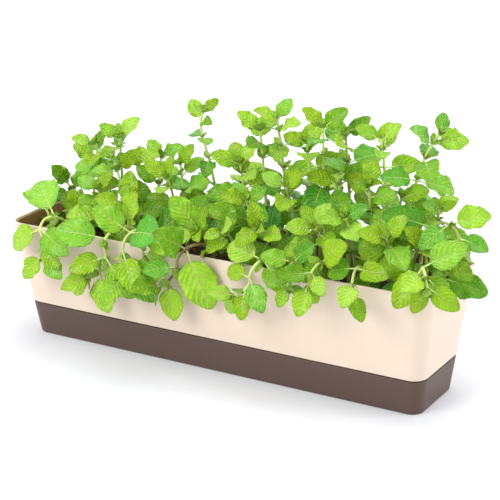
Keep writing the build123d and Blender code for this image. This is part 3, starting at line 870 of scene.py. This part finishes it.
def vein_group():
    """midrib, side veins and fine net of a leaf, from its along, across and vein shares"""
    nodes, given, result = new_group(
        "Leaf veins",
        (("Place", VECTOR, None), ("Net Size", NUMBER, 0.0018)),
        (("Midrib", NUMBER), ("Veins", NUMBER), ("Height", NUMBER)),
    )
    along, across, course = nodes.split(given["Place"])
    across = nodes.math("ABSOLUTE", across)
    rib_widths = nodes.math("DIVIDE", across, nodes.ramp(along, *midrib_width_shares))
    midrib = nodes.minus(1.0, nodes.ramp(rib_widths, 0, 1, *midrib_edge_shares))
    away = nodes.math("ABSOLUTE", nodes.minus(nodes.math("FRACT", course), 0.5))
    veins = nodes.minus(1.0, nodes.ramp(away, 0.0, 1.0, *vein_width_shares))
    veins = nodes.times(veins, nodes.ramp(across, 1.0, vein_edge_share))
    edges = nodes.cells(nodes.place(), given["Net Size"], feature="DISTANCE_TO_EDGE")
    net = nodes.minus(1.0, nodes.ramp(edges, 0.0, 1.0, 0.0, net_width_share))
    height = nodes.times(nodes.math("MAXIMUM", midrib, veins), vein_depth)
    height = nodes.minus(nodes.times(away, pad_height), height)
    nodes.set(
        result,
        Midrib=midrib,
        Veins=nodes.math("MAXIMUM", veins, nodes.times(net, net_share)),
        Height=nodes.minus(height, nodes.times(net, net_depth)),
    )


# Materials: patches, crumbs and the depth of bumps, in metres
leaf_patch_size, stem_patch_size, skin_bump_size = 0.006, 0.012, 0.0007
soil_crumb_size, bark_crumb_size = 0.0032, 0.0016
plastic_bump, leaf_bump, stem_bump = 0.00006, 0.0015, 0.00015
crumb_bump_share = 0.3
soil_light_share, bark_light_share = 0.44, 0.45
chip_values = (0.35, 1.75)
stem_values = (0.8, 1.2)

# Leaves: how their own numbers turn into hue, value and saturation, where a lighter, less
# saturated leaf is partly its own paler tone and partly a painted sheen, how far veins and
# midrib take the vein colour, and how much of the upper green and of the veins shows
# underneath. How rough the upper side is, and how much rougher underside and veins are.
leaf_hues, leaf_values_with_painted_sheen, leaf_saturations_with_painted_sheen = (0.493, 0.506), (0.82, 1.22), (1.06, 0.95)
vein_tint_shares = (("Veins", 0.66), ("Midrib", 0.95))
underside_green_share, underside_vein_share = 0.35, 0.5
leaf_roughness, underside_roughness, vein_roughness = 0.40, 0.25, 0.12
skin_height_share = 0.12


def new_material(name, **constants):
    """a material, its node maker and its shader, with constants on the shader's own sockets"""
    made = bpy.data.materials.new(name)
    made.use_nodes = True
    nodes = NodeMaker(made.node_tree)
    return made, nodes, nodes.set(made.node_tree.nodes["Principled BSDF"], **constants)


def plastic_material(name, colour, gloss, mottling, grain_size):
    """satin moulded plastic"""
    made, nodes, shader = new_material(name, IOR=1.47)
    skin = nodes.group(
        "Moulded plastic", Colour=colour, Gloss=gloss, Mottling=mottling, Grain_Size=grain_size,
    )
    normal = nodes.bump(skin["Height"], plastic_bump, 0.5)
    nodes.set(shader, Base_Color=skin["Colour"], Roughness=skin["Roughness"], Normal=normal)
    return made


def crumb_material(name, dark, light, crumb_size, share_of_light, tone_attribute=None):
    """rough crumbly dirt or bark, lighter or darker by a named attribute of the mesh"""
    made, nodes, shader = new_material(name, Roughness=0.9, Specular_IOR_Level=0.25)
    skin = nodes.group("Crumbs", Dark=dark, Light=light, Crumb_Size=crumb_size, Share_of_Light=share_of_light)
    colour = skin["Colour"]
    if tone_attribute:
        tone = nodes.split(nodes.attribute(tone_attribute))["X"]
        colour = nodes.shade(colour, Value=nodes.ramp(tone, *chip_values))
    nodes.set(shader, Base_Color=colour, Normal=nodes.bump(skin["Height"], crumb_size * crumb_bump_share))
    return made


def leaf_material(herbs):
    """mint-like leaf: greens by age, pale veins, quilted between them, paler underneath"""
    made, nodes, shader = new_material(
        "herb leaf",
        Specular_IOR_Level=0.12,
        Coat_Weight=0.3,
        Coat_Roughness=0.15,
        Sheen_Weight=0.02,
        Sheen_Roughness=0.35,
        Subsurface_Weight=0.36,
        Subsurface_Scale=0.0005,
        Subsurface_Radius=(0.6, 1.0, 0.15),
    )
    age, own, under = nodes.split(nodes.attribute("leaf_nature"))
    skin = nodes.group(
        "Plant skin",
        First=herbs.young_colour, Second=herbs.grown_colour, Blend=age, Patch_Size=leaf_patch_size,
    )
    veins = nodes.group("Leaf veins", Place=nodes.attribute("leaf_place"))
    colour = skin["Colour"]
    for part, share in vein_tint_shares:
        colour = nodes.mix(nodes.times(veins[part], share), colour, herbs.vein_colour)
    # each leaf lighter and less saturated by its own number: partly its own tone, partly a painted sheen
    upper = nodes.shade(
        colour,
        Hue=nodes.ramp(own, *leaf_hues),
        Value=nodes.ramp(own, *leaf_values_with_painted_sheen),
        Saturation=nodes.ramp(own, *leaf_saturations_with_painted_sheen),
    )
    lower = nodes.mix(underside_green_share, herbs.underside_colour, upper)
    lower = nodes.mix(nodes.times(veins["Veins"], underside_vein_share), lower, herbs.vein_colour)
    rough = nodes.plus(leaf_roughness, nodes.times(under, underside_roughness))
    height = nodes.plus(veins["Height"], nodes.times(skin["Height"], skin_height_share))
    nodes.set(
        shader,
        Base_Color=nodes.mix(under, upper, lower),
        Roughness=nodes.plus(rough, nodes.times(veins["Veins"], vein_roughness)),
        Normal=nodes.bump(height, leaf_bump),
    )
    return made


def stem_material(herbs):
    """pale green to brown stem, each a little lighter or darker"""
    made, nodes, shader = new_material("herb stem", Roughness=0.5, Specular_IOR_Level=0.4)
    nature = nodes.split(nodes.attribute("leaf_nature"))
    skin = nodes.group(
        "Plant skin",
        First=herbs.stem_colour, Second=herbs.brown_stem_colour,
        Blend=nature["X"], Patch_Size=stem_patch_size,
    )
    colour = nodes.shade(skin["Colour"], Value=nodes.ramp(nature["Y"], *stem_values))
    nodes.set(shader, Base_Color=colour, Normal=nodes.bump(skin["Height"], stem_bump))
    return made


# Meshes: pieces in mm are joined, and become objects in metres


def tinted_piece(points, faces, tone=0.0, own=0.0, material=0):
    """a piece that has the same tone all over"""
    points = np.array(points)
    nature = np.zeros_like(points)
    nature[:, :2] = tone, own
    return Piece(points, faces, np.zeros_like(points), nature, material)


def grid_faces(rows, columns):
    """faces of a grid whose points run column by column within each row"""
    first = (np.arange(rows - 1)[:, None] * columns + np.arange(columns - 1)).ravel()
    return np.stack([first, first + 1, first + columns + 1, first + columns], axis=1)


def grid_edge(rows, columns):
    """the points round the edge of a grid"""
    return (
        list(range(columns))
        + [row * columns + columns - 1 for row in range(1, rows)]
        + [(rows - 1) * columns + column for column in range(columns - 2, -1, -1)]
        + [row * columns for row in range(rows - 2, 0, -1)]
    )


def closed_sheet_faces(rows, columns):
    """faces of a top grid, a bottom grid and the rim that joins them"""
    top = grid_faces(rows, columns)
    count = rows * columns
    edge = grid_edge(rows, columns)
    rim = [(b, a, a + count, b + count) for a, b in zip(edge, edge[1:] + edge[:1])]
    return [*top.tolist(), *(top[:, ::-1] + count).tolist(), *rim]


def tube_faces(rings, sides):
    """faces between rings of points, and one over each end"""
    last = (rings - 1) * sides
    faces = []
    for start in range(0, last, sides):
        for i in range(sides):
            a, b = start + i, start + (i + 1) % sides
            faces.append((a, b, b + sides, a + sides))
    return faces + [tuple(range(sides))[::-1], tuple(range(last, last + sides))]


sheet_faces = {grid: closed_sheet_faces(*grid) for grid in (leaf_grid, small_leaf_grid)}


def half_width_share(along, own_way):
    """half the width at shares of the length, fuller or more pointed in each leaf's own way"""
    arch = np.sin(np.pi * along ** (outline_lean + own_lean * own_way))
    arch = np.maximum(arch, 0) ** (outline_sharpness + own_sharpness * own_way)
    return end_half_width_share + arch_half_width_share * arch


def curl_drop(character, length, share):
    """how far a curled blade drops at a share of its length, besides its sag"""
    return character.curl * length * share**curl_power * curl_share


def leaf_mesh(leaf, character, age, grid=leaf_grid, stalk_share=stalk_length_share):
    """a closed blade with teeth, quilting, a fold along the midrib and a wave along its edges"""
    rows, columns = grid
    steps = np.linspace(0, 1, rows)
    along = even_rows_share * steps + crowded_rows_share * (1 - np.cos(np.pi * steps)) / 2
    u, v = np.meshgrid(along, np.linspace(-1, 1, columns), indexing="ij")
    off_midrib = np.abs(v)
    length, phase = leaf.length, character.phase
    width = half_width_share(u, 2 * character.tone - 1) * leaf_width_share * length
    width = width * (narrowest_width_share + own_width_share * character.teeth)
    saw = (u * teeth + character.teeth) % 1.0
    tooth = np.where(saw < tooth_rise_share, saw / tooth_rise_share, (1 - saw) / tooth_fall_share) - 0.5
    width = width * (1 + tooth_depth_share * tooth * off_midrib**4 * np.minimum(1, teeth_fade * (1 - u)))
    y = v * width
    z = -leaf_drop(length, u)
    z = z + character.fold * np.abs(y) - curl_drop(character, length, u)
    wave = character.wave * length * off_midrib**2 * np.sin(2 * np.pi * (edge_waves * u + phase))
    z = z + wave * np.sin(np.pi * u)
    z = z + character.twist * y * (u - twist_start_share)
    course = (u - vein_slant * off_midrib**vein_arch) * side_veins + vein_stagger * (v > 0) * phase
    wander = vein_wander_turn * u + vein_wander_own * phase + vein_wander_side * np.sign(v)
    course = course + vein_wander * np.sin(wander) * off_midrib
    pads = np.abs(course % 1.0 - 0.5)
    z = z + quilting * (length / leaf_length) * (pads - 0.25) * np.sin(np.pi * off_midrib) * 2
    top = np.stack([stalk_share * length + u * length, y, z], axis=-1).reshape(-1, 3)
    both = np.concatenate([top, top - (0, 0, blade_thickness)])
    made = tinted_piece(leaf.point + both @ leaf_axes(leaf), sheet_faces[grid], age, character.tone)
    made.nature[len(top):, 2] = 1
    made.place[:] = np.tile(np.stack([u, v, course], axis=-1).reshape(-1, 3), (2, 1))
    return made


def tube_mesh(path, radii, sides, tone, own, square=0.0, material=1):
    """a closed tube along points, rounded square in section where square is above zero"""
    path = np.array(path)
    tangents = np.gradient(path, axis=0)
    tangents /= np.linalg.norm(tangents, axis=1)[:, None]
    across = np.cross(tangents[0], ring_start)
    angles = np.linspace(0, 2 * np.pi, sides, endpoint=False)
    swell = 1 + square * np.cos(4 * angles)
    rings = []
    for point, tangent, radius in zip(path, tangents, radii):
        across = unit(across - tangent * across.dot(tangent))
        other = np.cross(tangent, across)
        ring = np.outer(np.cos(angles) * swell, across) + np.outer(np.sin(angles) * swell, other)
        rings.append(point + radius * ring)
    return tinted_piece(np.concatenate(rings), tube_faces(len(path), sides), tone, own, material)


def make_object(name, parts, materials, smooth=True):
    """joins pieces into one object in metres"""
    points = np.concatenate([part.points for part in parts]) * MM
    faces = []
    slots = []
    start = 0
    for part in parts:
        faces.extend(tuple(int(i) + start for i in face) for face in part.faces)
        slots.extend([part.material] * len(part.faces))
        start += len(part.points)
    mesh = bpy.data.meshes.new(name)
    mesh.from_pydata(points.tolist(), [], faces)
    for label in ("place", "nature"):
        values = np.concatenate([getattr(part, label) for part in parts])
        attribute = mesh.attributes.new("leaf_" + label, "FLOAT_VECTOR", "POINT")
        attribute.data.foreach_set("vector", values.astype(np.float32).ravel())
    for material in materials:
        mesh.materials.append(material)
    mesh.polygons.foreach_set("material_index", slots)
    mesh.polygons.foreach_set("use_smooth", [smooth] * len(faces))
    mesh.update()
    made = bpy.data.objects.new(name, mesh)
    bpy.context.scene.collection.objects.link(made)
    return made


def replace_node(made, node):
    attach(made, POT_BODY)
    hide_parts(node)


# Herbs


def leaf_character(*counts):
    """a leaf's own traits, the same each time for the same counts"""
    a, b, c, d, e, f, g = (uneven(*(count * factor for count in counts)) for factor in trait_factors)
    fold, wave = fold_middle + fold_span * b, wave_middle + wave_span * c
    return Character(0.5 + a / 2, fold, wave, most_curl * max(0, d), most_twist * e, f, 0.5 + g / 2)


def small_leaf_mesh(point, tangent, around, opening, length, character, age, stalk_share):
    """a small leaf that stands off the stem"""
    axis = unit(stand_off(tangent, around, opening))
    facing = unit(tangent - axis * tangent.dot(axis))
    return leaf_mesh(Leaf(point, axis, facing, length), character, age, small_leaf_grid, stalk_share)


def stalk_mesh(leaf, character, own):
    """the leaf stalk, which runs on under the blade as its midrib"""
    stalk = stalk_length_share * leaf.length
    path = [(0, 0, -blade_thickness), (stalk * 0.5, 0, -blade_thickness - stalk_sag)]
    for share in stalk_place_shares:
        drop = leaf_drop(leaf.length, share) + curl_drop(character, leaf.length, share)
        path.append((stalk + share * leaf.length, 0, -drop - blade_thickness))
    return tube_mesh(leaf.point + np.array(path) @ leaf_axes(leaf), stalk_radii, stalk_sides, 0.0, own)


def stem_mesh(stem, brown, own):
    """the stem from under the soil to its tip, thicker at the foot and at each pair of leaves"""
    rings = max(fewest_rings, round((stem.length + stem_depth) / ring_spacing))
    distances = np.linspace(-stem_depth * buried_share, stem.length, rings)
    path = [stem.at(d)[0] if d > 0 else stem.root + up * d for d in distances]
    radii = np.interp(distances, (0, stem.length), (stem_radius * foot_share, stem_radius * tip_share))
    for place in pair_places(stem):
        radii = radii * (1 + knot_share * np.exp(-(((distances - place) / knot_length) ** 2)))
    return tube_mesh(path, radii, stem_sides, brown, own, stem_squareness)


def herb_parts(sprig, stem, leaves, size, turn, brown):
    """every mesh of one rooted sprig"""
    own = 0.5 + 0.5 * uneven(sprig, stem_tone_count)
    parts = [stem_mesh(stem, brown, own)]
    for leaf, pair, half in leaves:
        character = leaf_character(sprig, pair, half)
        age = tip_age + pair_age * pair + sprig_age * uneven(sprig, sprig_age_count)
        age = age + own_age * uneven(pair, half, sprig)
        parts.append(leaf_mesh(leaf, character, min(1.0, max(0.0, age))))
        parts.append(stalk_mesh(leaf, character, own))
    for pair, place in enumerate(pair_places(stem)):
        if uneven(sprig, pair, bare_pair_count) < bare_pair_limit:
            continue
        for half in (0, 1):
            share = small_leaf_share + small_leaf_span * uneven(sprig, pair, half + small_size_count)
            length = leaf_length * size * share * (1 if pair else topmost_share)
            around = turn + pair_turn * (pair + 1) + opposite_turn * half
            around = around + small_leaf_turn * uneven(sprig, pair, half)
            lean = small_leaf_opening * uneven(half, pair, sprig)
            for share, aside, opening in small_leaf_pairs:
                parts.append(small_leaf_mesh(
                    *stem.at(place), around + aside, opening + lean, length * share,
                    leaf_character(sprig, pair, half + small_leaf_count),
                    small_leaf_age, small_stalk_share,
                ))
    for half in (0, 1):
        parts.append(small_leaf_mesh(
            *stem.at(stem.length), turn + opposite_turn * half, tip_leaf_opening,
            leaf_length * size * tip_leaf_share,
            leaf_character(sprig, tip_leaf_count, half), tip_leaf_age, tip_stalk_share,
        ))
    return parts


class PLANTER_OT_herbs(bpy.types.Operator):
    """Grow each herb's stem and leaves in place of its plain solid"""

    bl_idname = "planter.herbs"
    bl_label = "Grow the herbs"

    def execute(self, context):
        herbs = context.scene.planter.herbs
        materials = [leaf_material(herbs), stem_material(herbs)]
        room = Room()
        stems = [Stem(root, points) for name, root, points, size, turn in sprigs]
        for sprig, stem in enumerate(stems):
            room.take(stem.boxes(), sprig, -1)
        for sprig, (name, root, points, size, turn) in enumerate(sprigs):
            leaves = grow(room, stems[sprig], sprig, size, turn)
            parts = herb_parts(sprig, stems[sprig], leaves, size, turn, brown_herbs.get(name, stem_brown))
            made = make_object(name + "_grown", parts, materials)
            low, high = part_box(name)
            tips = np.array([leaf.point + leaf.axis * leaf.length for leaf, pair, half in leaves]) * MM
            slack = 0.004
            if (tips < np.array(low) - slack).any() or (tips > np.array(high) + slack).any():
                raise RuntimeError(f"{name} doesn't grow where its solid is")
            replace_node(made, name)
        return {"FINISHED"}


# Soil

# The grid of its top, its broad and fine lumps, and the soil in the wells
soil_rows, soil_columns = 42, 190
broad_lump_spacing, fine_lump_spacing = 17, 4.1
broad_lump_level, fine_lump_level = 0.3, 3.7
broad_lump_share, fine_lump_share, lump_drop_share = 0.75, 0.5, 0.2
well_overlap = 1
well_corner_steps = 6
well_step_angle = 18

# Bark chips and dry bits of stem: the least and the most of each size, and how far chips tilt
chip_sides = 7
chip_length, chip_cut_share = (2.2, 10.5), (0.6, 1)
chip_width_share = (0.28, 0.6)
chip_height = (0.7, 1.8)
chip_pitch, chip_roll = 0.28, 0.35
chip_long_share, chip_wide_share = (0.75, 1.1), (0.7, 1.1)
chip_rings_shares = ((-0.5, 0.8), (0.05, 1.0), (0.5, 0.72))
chip_uneven_share = (-0.1, 0.1)
chip_lift = (0.0, 0.7)
chip_margin, dry_stalk_margin = 6, 14
chip_tone_power = 1.6
chip_shadow_share = 0.45
bark_seed = 5
dry_stalks = 26
dry_stalk_length = (8, 24)
dry_stalk_bend = (-2, 2)
dry_stalk_radius = (0.35, 0.7)
dry_stalk_tone = (0.65, 1.0)
dry_stalk_radii_shares = (0.7, 1, 1.1, 1, 0.9, 0.5)
dry_stalk_lift = 0.9
dry_stalk_sides = 7


def soil_half_sizes(level, inset=soil_inset + soil_gap):
    """half the soil's length and width at a level"""
    return length_at(level) / 2 - inset, width_at(level) / 2 - inset


def onto_outline(x, y, half_length, half_width, radius):
    """pulls a point of the corner squares back onto the rounded outline"""
    corner_x, corner_y = half_length - radius, half_width - radius
    beyond_x, beyond_y = abs(x) - corner_x, abs(y) - corner_y
    reach = math.hypot(beyond_x, beyond_y)
    if beyond_x > 0 and beyond_y > 0 and reach > radius:
        x = math.copysign(corner_x + beyond_x * radius / reach, x)
        y = math.copysign(corner_y + beyond_y * radius / reach, y)
    return x, y


def soil_height(x, y, lump):
    """height of the soil at a place"""
    broad = noise.noise(Vector((x / broad_lump_spacing, y / broad_lump_spacing, broad_lump_level)))
    fine = noise.noise(Vector((x / fine_lump_spacing, y / fine_lump_spacing, fine_lump_level)))
    rise = lump * (broad_lump_share * broad + fine_lump_share * fine) - lump_drop_share * lump
    return soil_level + rise


def soil_body(lump):
    """lumpy top on a block with sloping sides, and the soil in each well"""
    half_length, half_width = soil_half_sizes(soil_level)
    radius = corner_at(soil_level) - (soil_inset + soil_gap)
    points = []
    for row in range(soil_rows):
        for column in range(soil_columns):
            x = half_length * (2 * column / (soil_columns - 1) - 1)
            y = half_width * (2 * row / (soil_rows - 1) - 1)
            x, y = onto_outline(x, y, half_length, half_width, radius)
            points.append((x, y, soil_height(x, y, lump)))
    edge = grid_edge(soil_rows, soil_columns)
    floor_length, floor_width = soil_half_sizes(liner_floor_top)
    scale_x, scale_y = floor_length / half_length, floor_width / half_width
    start = len(points)
    points.extend((points[i][0] * scale_x, points[i][1] * scale_y, liner_floor_top) for i in edge)
    floor = list(range(start, len(points)))
    faces = list(grid_faces(soil_rows, soil_columns))
    faces.extend(zip(edge[1:] + edge[:1], edge, floor, floor[1:] + floor[:1]))
    faces.append(floor[::-1])
    return [tinted_piece(points, faces)] + [well_soil_mesh(x) for x in (-well_spacing, 0, well_spacing)]


def well_soil_mesh(middle):
    """the soil in one well"""
    points = []
    inset = well_wall + soil_gap
    radius = well_corner_radius - well_wall
    for height in (well_bottom + well_wall, liner_floor_top + well_overlap):
        taper = max(well_taper * (ledge_top - height) / (ledge_top - well_bottom), 0)
        half_x, half_y = well_length / 2 - inset - taper, well_width / 2 - inset - taper
        for corner, (sign_x, sign_y) in enumerate(((1, 1), (-1, 1), (-1, -1), (1, -1))):
            for step in range(well_corner_steps):
                angle = math.radians(90 * corner + well_step_angle * step)
                x = middle + sign_x * (half_x - radius) + radius * math.cos(angle)
                y = sign_y * (half_y - radius) + radius * math.sin(angle)
                points.append((x, y, height))
    return tinted_piece(points, tube_faces(2, len(points) // 2))


def chip_mesh(draw, spot):
    """one splinter of bark: three uneven rings closed at both ends"""
    length = draw.uniform(*chip_length) * draw.uniform(*chip_cut_share)
    width = length * draw.uniform(*chip_width_share)
    height = draw.uniform(*chip_height)
    turn = Matrix.Rotation(draw.uniform(0, math.pi), 3, "Z")
    turn = turn @ Matrix.Rotation(draw.gauss(0, chip_pitch), 3, "Y")
    turn = turn @ Matrix.Rotation(draw.gauss(0, chip_roll), 3, "X")
    outline = []
    for side in range(chip_sides):
        angle = 2 * math.pi * side / chip_sides
        a = math.cos(angle) * draw.uniform(*chip_long_share)
        outline.append((a, math.sin(angle) * draw.uniform(*chip_wide_share)))
    points = []
    for level, share in chip_rings_shares:
        for a, b in outline:
            z = height * (level + draw.uniform(*chip_uneven_share))
            local = turn @ Vector((a * share * length / 2, b * share * width / 2, z))
            points.append([middle + offset for middle, offset in zip(spot, local)])
    tone = draw.random() ** chip_tone_power
    return tinted_piece(points, tube_faces(len(chip_rings_shares), chip_sides), tone)


def soil_spot(draw, lump, margin):
    """a random place on the soil"""
    half_length, half_width = soil_half_sizes(soil_level, soil_inset + margin)
    x = draw.uniform(-1, 1) * half_length
    y = draw.uniform(-1, 1) * half_width
    return x, y, soil_height(x, y, lump)


def dry_stalk_mesh(draw, lump):
    """a dry bit of stem that lies on the soil"""
    x, y, z = soil_spot(draw, lump, dry_stalk_margin)
    yaw = draw.uniform(0, math.pi)
    length = draw.uniform(*dry_stalk_length)
    bend = draw.uniform(*dry_stalk_bend)
    path = []
    steps = len(dry_stalk_radii_shares) - 1
    for step in range(steps + 1):
        share = step / steps - 0.5
        aside = bend * (1 - (2 * share) ** 2)
        px = x + share * length * math.cos(yaw) - aside * math.sin(yaw)
        py = y + share * length * math.sin(yaw) + aside * math.cos(yaw)
        path.append((px, py, soil_height(px, py, lump) + dry_stalk_lift))
    radii = draw.uniform(*dry_stalk_radius) * np.array(dry_stalk_radii_shares)
    return tube_mesh(path, radii, dry_stalk_sides, draw.uniform(*dry_stalk_tone), 0.5, material=0)


class PLANTER_OT_soil(bpy.types.Operator):
    """Shape the lumpy soil in place of its plain solid"""

    bl_idname = "planter.soil"
    bl_label = "Shape the soil"

    def execute(self, context):
        soil = context.scene.planter.soil
        material = crumb_material(
            "potting soil", soil.dark_colour, soil.light_colour, soil_crumb_size, soil_light_share,
        )
        made = make_object("potting_soil", soil_body(soil.lump_height / MM), [material])
        replace_node(made, "soil")
        return {"FINISHED"}


class PLANTER_OT_bark(bpy.types.Operator):
    """Scatter bark chips and dry stalks over the soil"""

    bl_idname = "planter.bark"
    bl_label = "Scatter the bark"

    def execute(self, context):
        soil = context.scene.planter.soil
        dark = [chip_shadow_share * c for c in soil.bark_colour]
        material = crumb_material(
            "bark", dark, soil.bark_colour, bark_crumb_size, bark_light_share, "leaf_nature",
        )
        draw = random.Random(bark_seed)
        lump = soil.lump_height / MM
        parts = []
        for number in range(soil.chips):
            x, y, z = soil_spot(draw, lump, chip_margin)
            parts.append(chip_mesh(draw, (x, y, z + draw.uniform(*chip_lift))))
        parts.extend(dry_stalk_mesh(draw, lump) for number in range(dry_stalks))
        made = make_object("bark_chips", parts, [material], smooth=False)
        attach(made, POT_BODY)
        return {"FINISHED"}


# Pots

# Each pot's node, its plastic, the setting of its colour, its gloss and its mottling
pot_finishes = (
    ("water_tray", "taupe plastic", "tray_colour", 0.42, 0.16),
    ("outer_box", "cream plastic", "box_colour", 0.36, 0.05),
    ("inner_pot", "tan plastic", "inner_pot_colour", 0.5, 0.35),
)


class PLANTER_OT_pots(bpy.types.Operator):
    """Give the water tray, the box and the inner pot their plastics; their shapes stay"""

    bl_idname = "planter.pots"
    bl_label = "Finish the pots"

    def execute(self, context):
        pots = context.scene.planter.pots
        for node, name, colour, gloss, mottling in pot_finishes:
            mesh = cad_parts[node].data
            mesh.materials.clear()
            mesh.materials.append(
                plastic_material(name, getattr(pots, colour), gloss, mottling, pots.grain_size)
            )
        return {"FINISHED"}


class PLANTER_OT_groups(bpy.types.Operator):
    """Build the node groups that the materials share"""

    bl_idname = "planter.groups"
    bl_label = "Build the shared node groups"

    def execute(self, context):
        plastic_group()
        crumb_group()
        plant_group()
        vein_group()
        return {"FINISHED"}


# Stage

# The photograph's view: degrees, mm, and shares of the picture's side
view_azimuth = 31.318
view_elevation = 18.813
view_roll = -1.034
view_distance = 1239.4
view_target = (18.11, 0, 101.2)
view_focal_share = 1483.2 / 500
view_shift_shares = (-0.00152, -0.00086)
view_nearest, view_farthest = 0.05, 20
sensor_width = 36

# The floor in metres, and the distances from the planter between which its glow grows
floor_size = 6.0
floor_steps = 12
# the floor's pale blue shows only where the planter's shadow falls, since the glow lifts the rest to white: a
# painted blue tint of the shade
floor_colour_with_painted_blue_shade = (0.745, 0.755, 0.805)
near_floor, far_floor = 0.35, 1.3

# Lamps in metres: where each stands, what it shines at, and its two sides
lamps = {
    "ceiling": ((0.1, 0.25, 1.9), (0, 0, 0.15), (1.6, 1.0)),
    "window": ((-0.75, -1.85, 1.35), (0, 0, 0.1), (1.3, 1.3)),
    "fill": ((1.75, 0.65, 0.75), (0.1, 0, 0.08), (0.8, 0.8)),
}


def seen_by_eye(nodes):
    """one where the camera, a reflection or a refraction looks, zero for the light itself"""
    rays = nodes.add("ShaderNodeLightPath").outputs
    total = nodes.plus(rays["Is Camera Ray"], rays["Is Glossy Ray"])
    return nodes.math("ADD", total, rays["Is Transmission Ray"], clamp=True)


class PLANTER_OT_stage(bpy.types.Operator):
    """Lay the floor, hang the lamps and set up the camera"""

    bl_idname = "planter.stage"
    bl_label = "Set up the stage"

    def execute(self, context):
        scene = context.scene
        stage = scene.planter.stage
        self.lay_floor(stage)
        for name, (place, target, sides) in lamps.items():
            self.add_lamp(scene, name, place, target, sides, getattr(stage, name + "_power"))
        self.set_world(scene, stage)
        self.set_camera(scene)
        scene.view_settings.view_transform = "Standard"
        return {"FINISHED"}

    def lay_floor(self, stage):
        made, nodes, shader = new_material(
            "white floor", Roughness=0.95, Specular_IOR_Level=0.1,
            Base_Color=floor_colour_with_painted_blue_shade, Emission_Color=WHITE,
        )
        away = nodes.add("ShaderNodeVectorMath", operation="LENGTH")
        nodes.feed(away.inputs[0], nodes.place())
        glow = nodes.ramp(away.outputs["Value"], stage.floor_glow, stage.far_glow, near_floor, far_floor)
        nodes.set(shader, Emission_Strength=nodes.times(seen_by_eye(nodes), glow))
        line = np.linspace(-floor_size / 2, floor_size / 2, floor_steps)
        x, y = np.meshgrid(line, line)
        points = np.stack([x, y, np.zeros_like(x)], axis=-1).reshape(-1, 3) / MM
        floor = make_object("floor", [tinted_piece(points, grid_faces(floor_steps, floor_steps))], [made])

    def add_lamp(self, scene, name, place, target, sides, power):
        """a large soft lamp that shines at a point"""
        data = bpy.data.lights.new(name, "AREA")
        data.shape = "RECTANGLE"
        data.size, data.size_y = sides
        data.energy = power
        lamp = bpy.data.objects.new(name, data)
        lamp.location = place
        lamp.rotation_euler = (Vector(target) - Vector(place)).to_track_quat("-Z", "Y").to_euler()
        scene.collection.objects.link(lamp)

    def set_world(self, scene, stage):
        """even white light, as bright as white paper where the eye sees it"""
        scene.world = bpy.data.worlds.new("studio")
        scene.world.use_nodes = True
        nodes = NodeMaker(scene.world.node_tree)
        strength = nodes.ramp(seen_by_eye(nodes), stage.sky_strength, 1.0)
        nodes.set(nodes.tree.nodes["Background"], Color=WHITE, Strength=strength)

    def set_camera(self, scene):
        """the photograph's view, turned by its roll"""
        back = np.array([
            sine(view_azimuth) * cosine(view_elevation),
            -cosine(view_azimuth) * cosine(view_elevation),
            sine(view_elevation),
        ])
        level = np.array([cosine(view_azimuth), sine(view_azimuth), 0])
        upright = np.cross(back, level)
        right = level * cosine(view_roll) + upright * sine(view_roll)
        upward = upright * cosine(view_roll) - level * sine(view_roll)
        place = (np.array(view_target) + back * view_distance) * MM
        data = bpy.data.cameras.new("photo view")
        data.sensor_width = sensor_width
        data.lens = view_focal_share * sensor_width
        data.shift_x, data.shift_y = view_shift_shares
        data.clip_start, data.clip_end = view_nearest, view_farthest
        camera = bpy.data.objects.new("photo view", data)
        camera.matrix_world = Matrix([*np.column_stack([right, upward, back, place]).tolist(), (0, 0, 0, 1)])
        scene.collection.objects.link(camera)
        scene.camera = camera


class PLANTER_PT_panel(bpy.types.Panel):
    """Lists the steps that make the planter"""

    bl_idname = "PLANTER_PT_panel"
    bl_label = "Indoor herb planter"
    bl_space_type = "VIEW_3D"
    bl_region_type = "UI"
    bl_category = "Planter"

    def draw(self, context):
        settings = context.scene.planter
        for group in (settings.pots, settings.soil, settings.herbs, settings.stage):
            box = self.layout.box()
            for name in group.bl_rna.properties.keys():
                if name not in ("rna_type", "name"):
                    box.prop(group, name)
        for operator in OPERATORS:
            self.layout.operator(operator.bl_idname)


OPERATORS = (
    PLANTER_OT_groups, PLANTER_OT_pots, PLANTER_OT_soil, PLANTER_OT_bark, PLANTER_OT_herbs, PLANTER_OT_stage,
)
SETTINGS = (PotSettings, SoilSettings, HerbSettings, StageSettings, PlanterSettings)
CLASSES = (*SETTINGS, *OPERATORS, PLANTER_PT_panel)


def register():
    for item in CLASSES:
        bpy.utils.register_class(item)
    bpy.types.Scene.planter = bpy.props.PointerProperty(type=PlanterSettings)


def unregister():
    del bpy.types.Scene.planter
    for item in reversed(CLASSES):
        bpy.utils.unregister_class(item)


def main():
    register()
    for operator in OPERATORS:
        area, name = operator.bl_idname.split(".")
        getattr(getattr(bpy.ops, area), name)()
    bpy.context.view_layer.update()


if __name__ == "__main__":
    main()
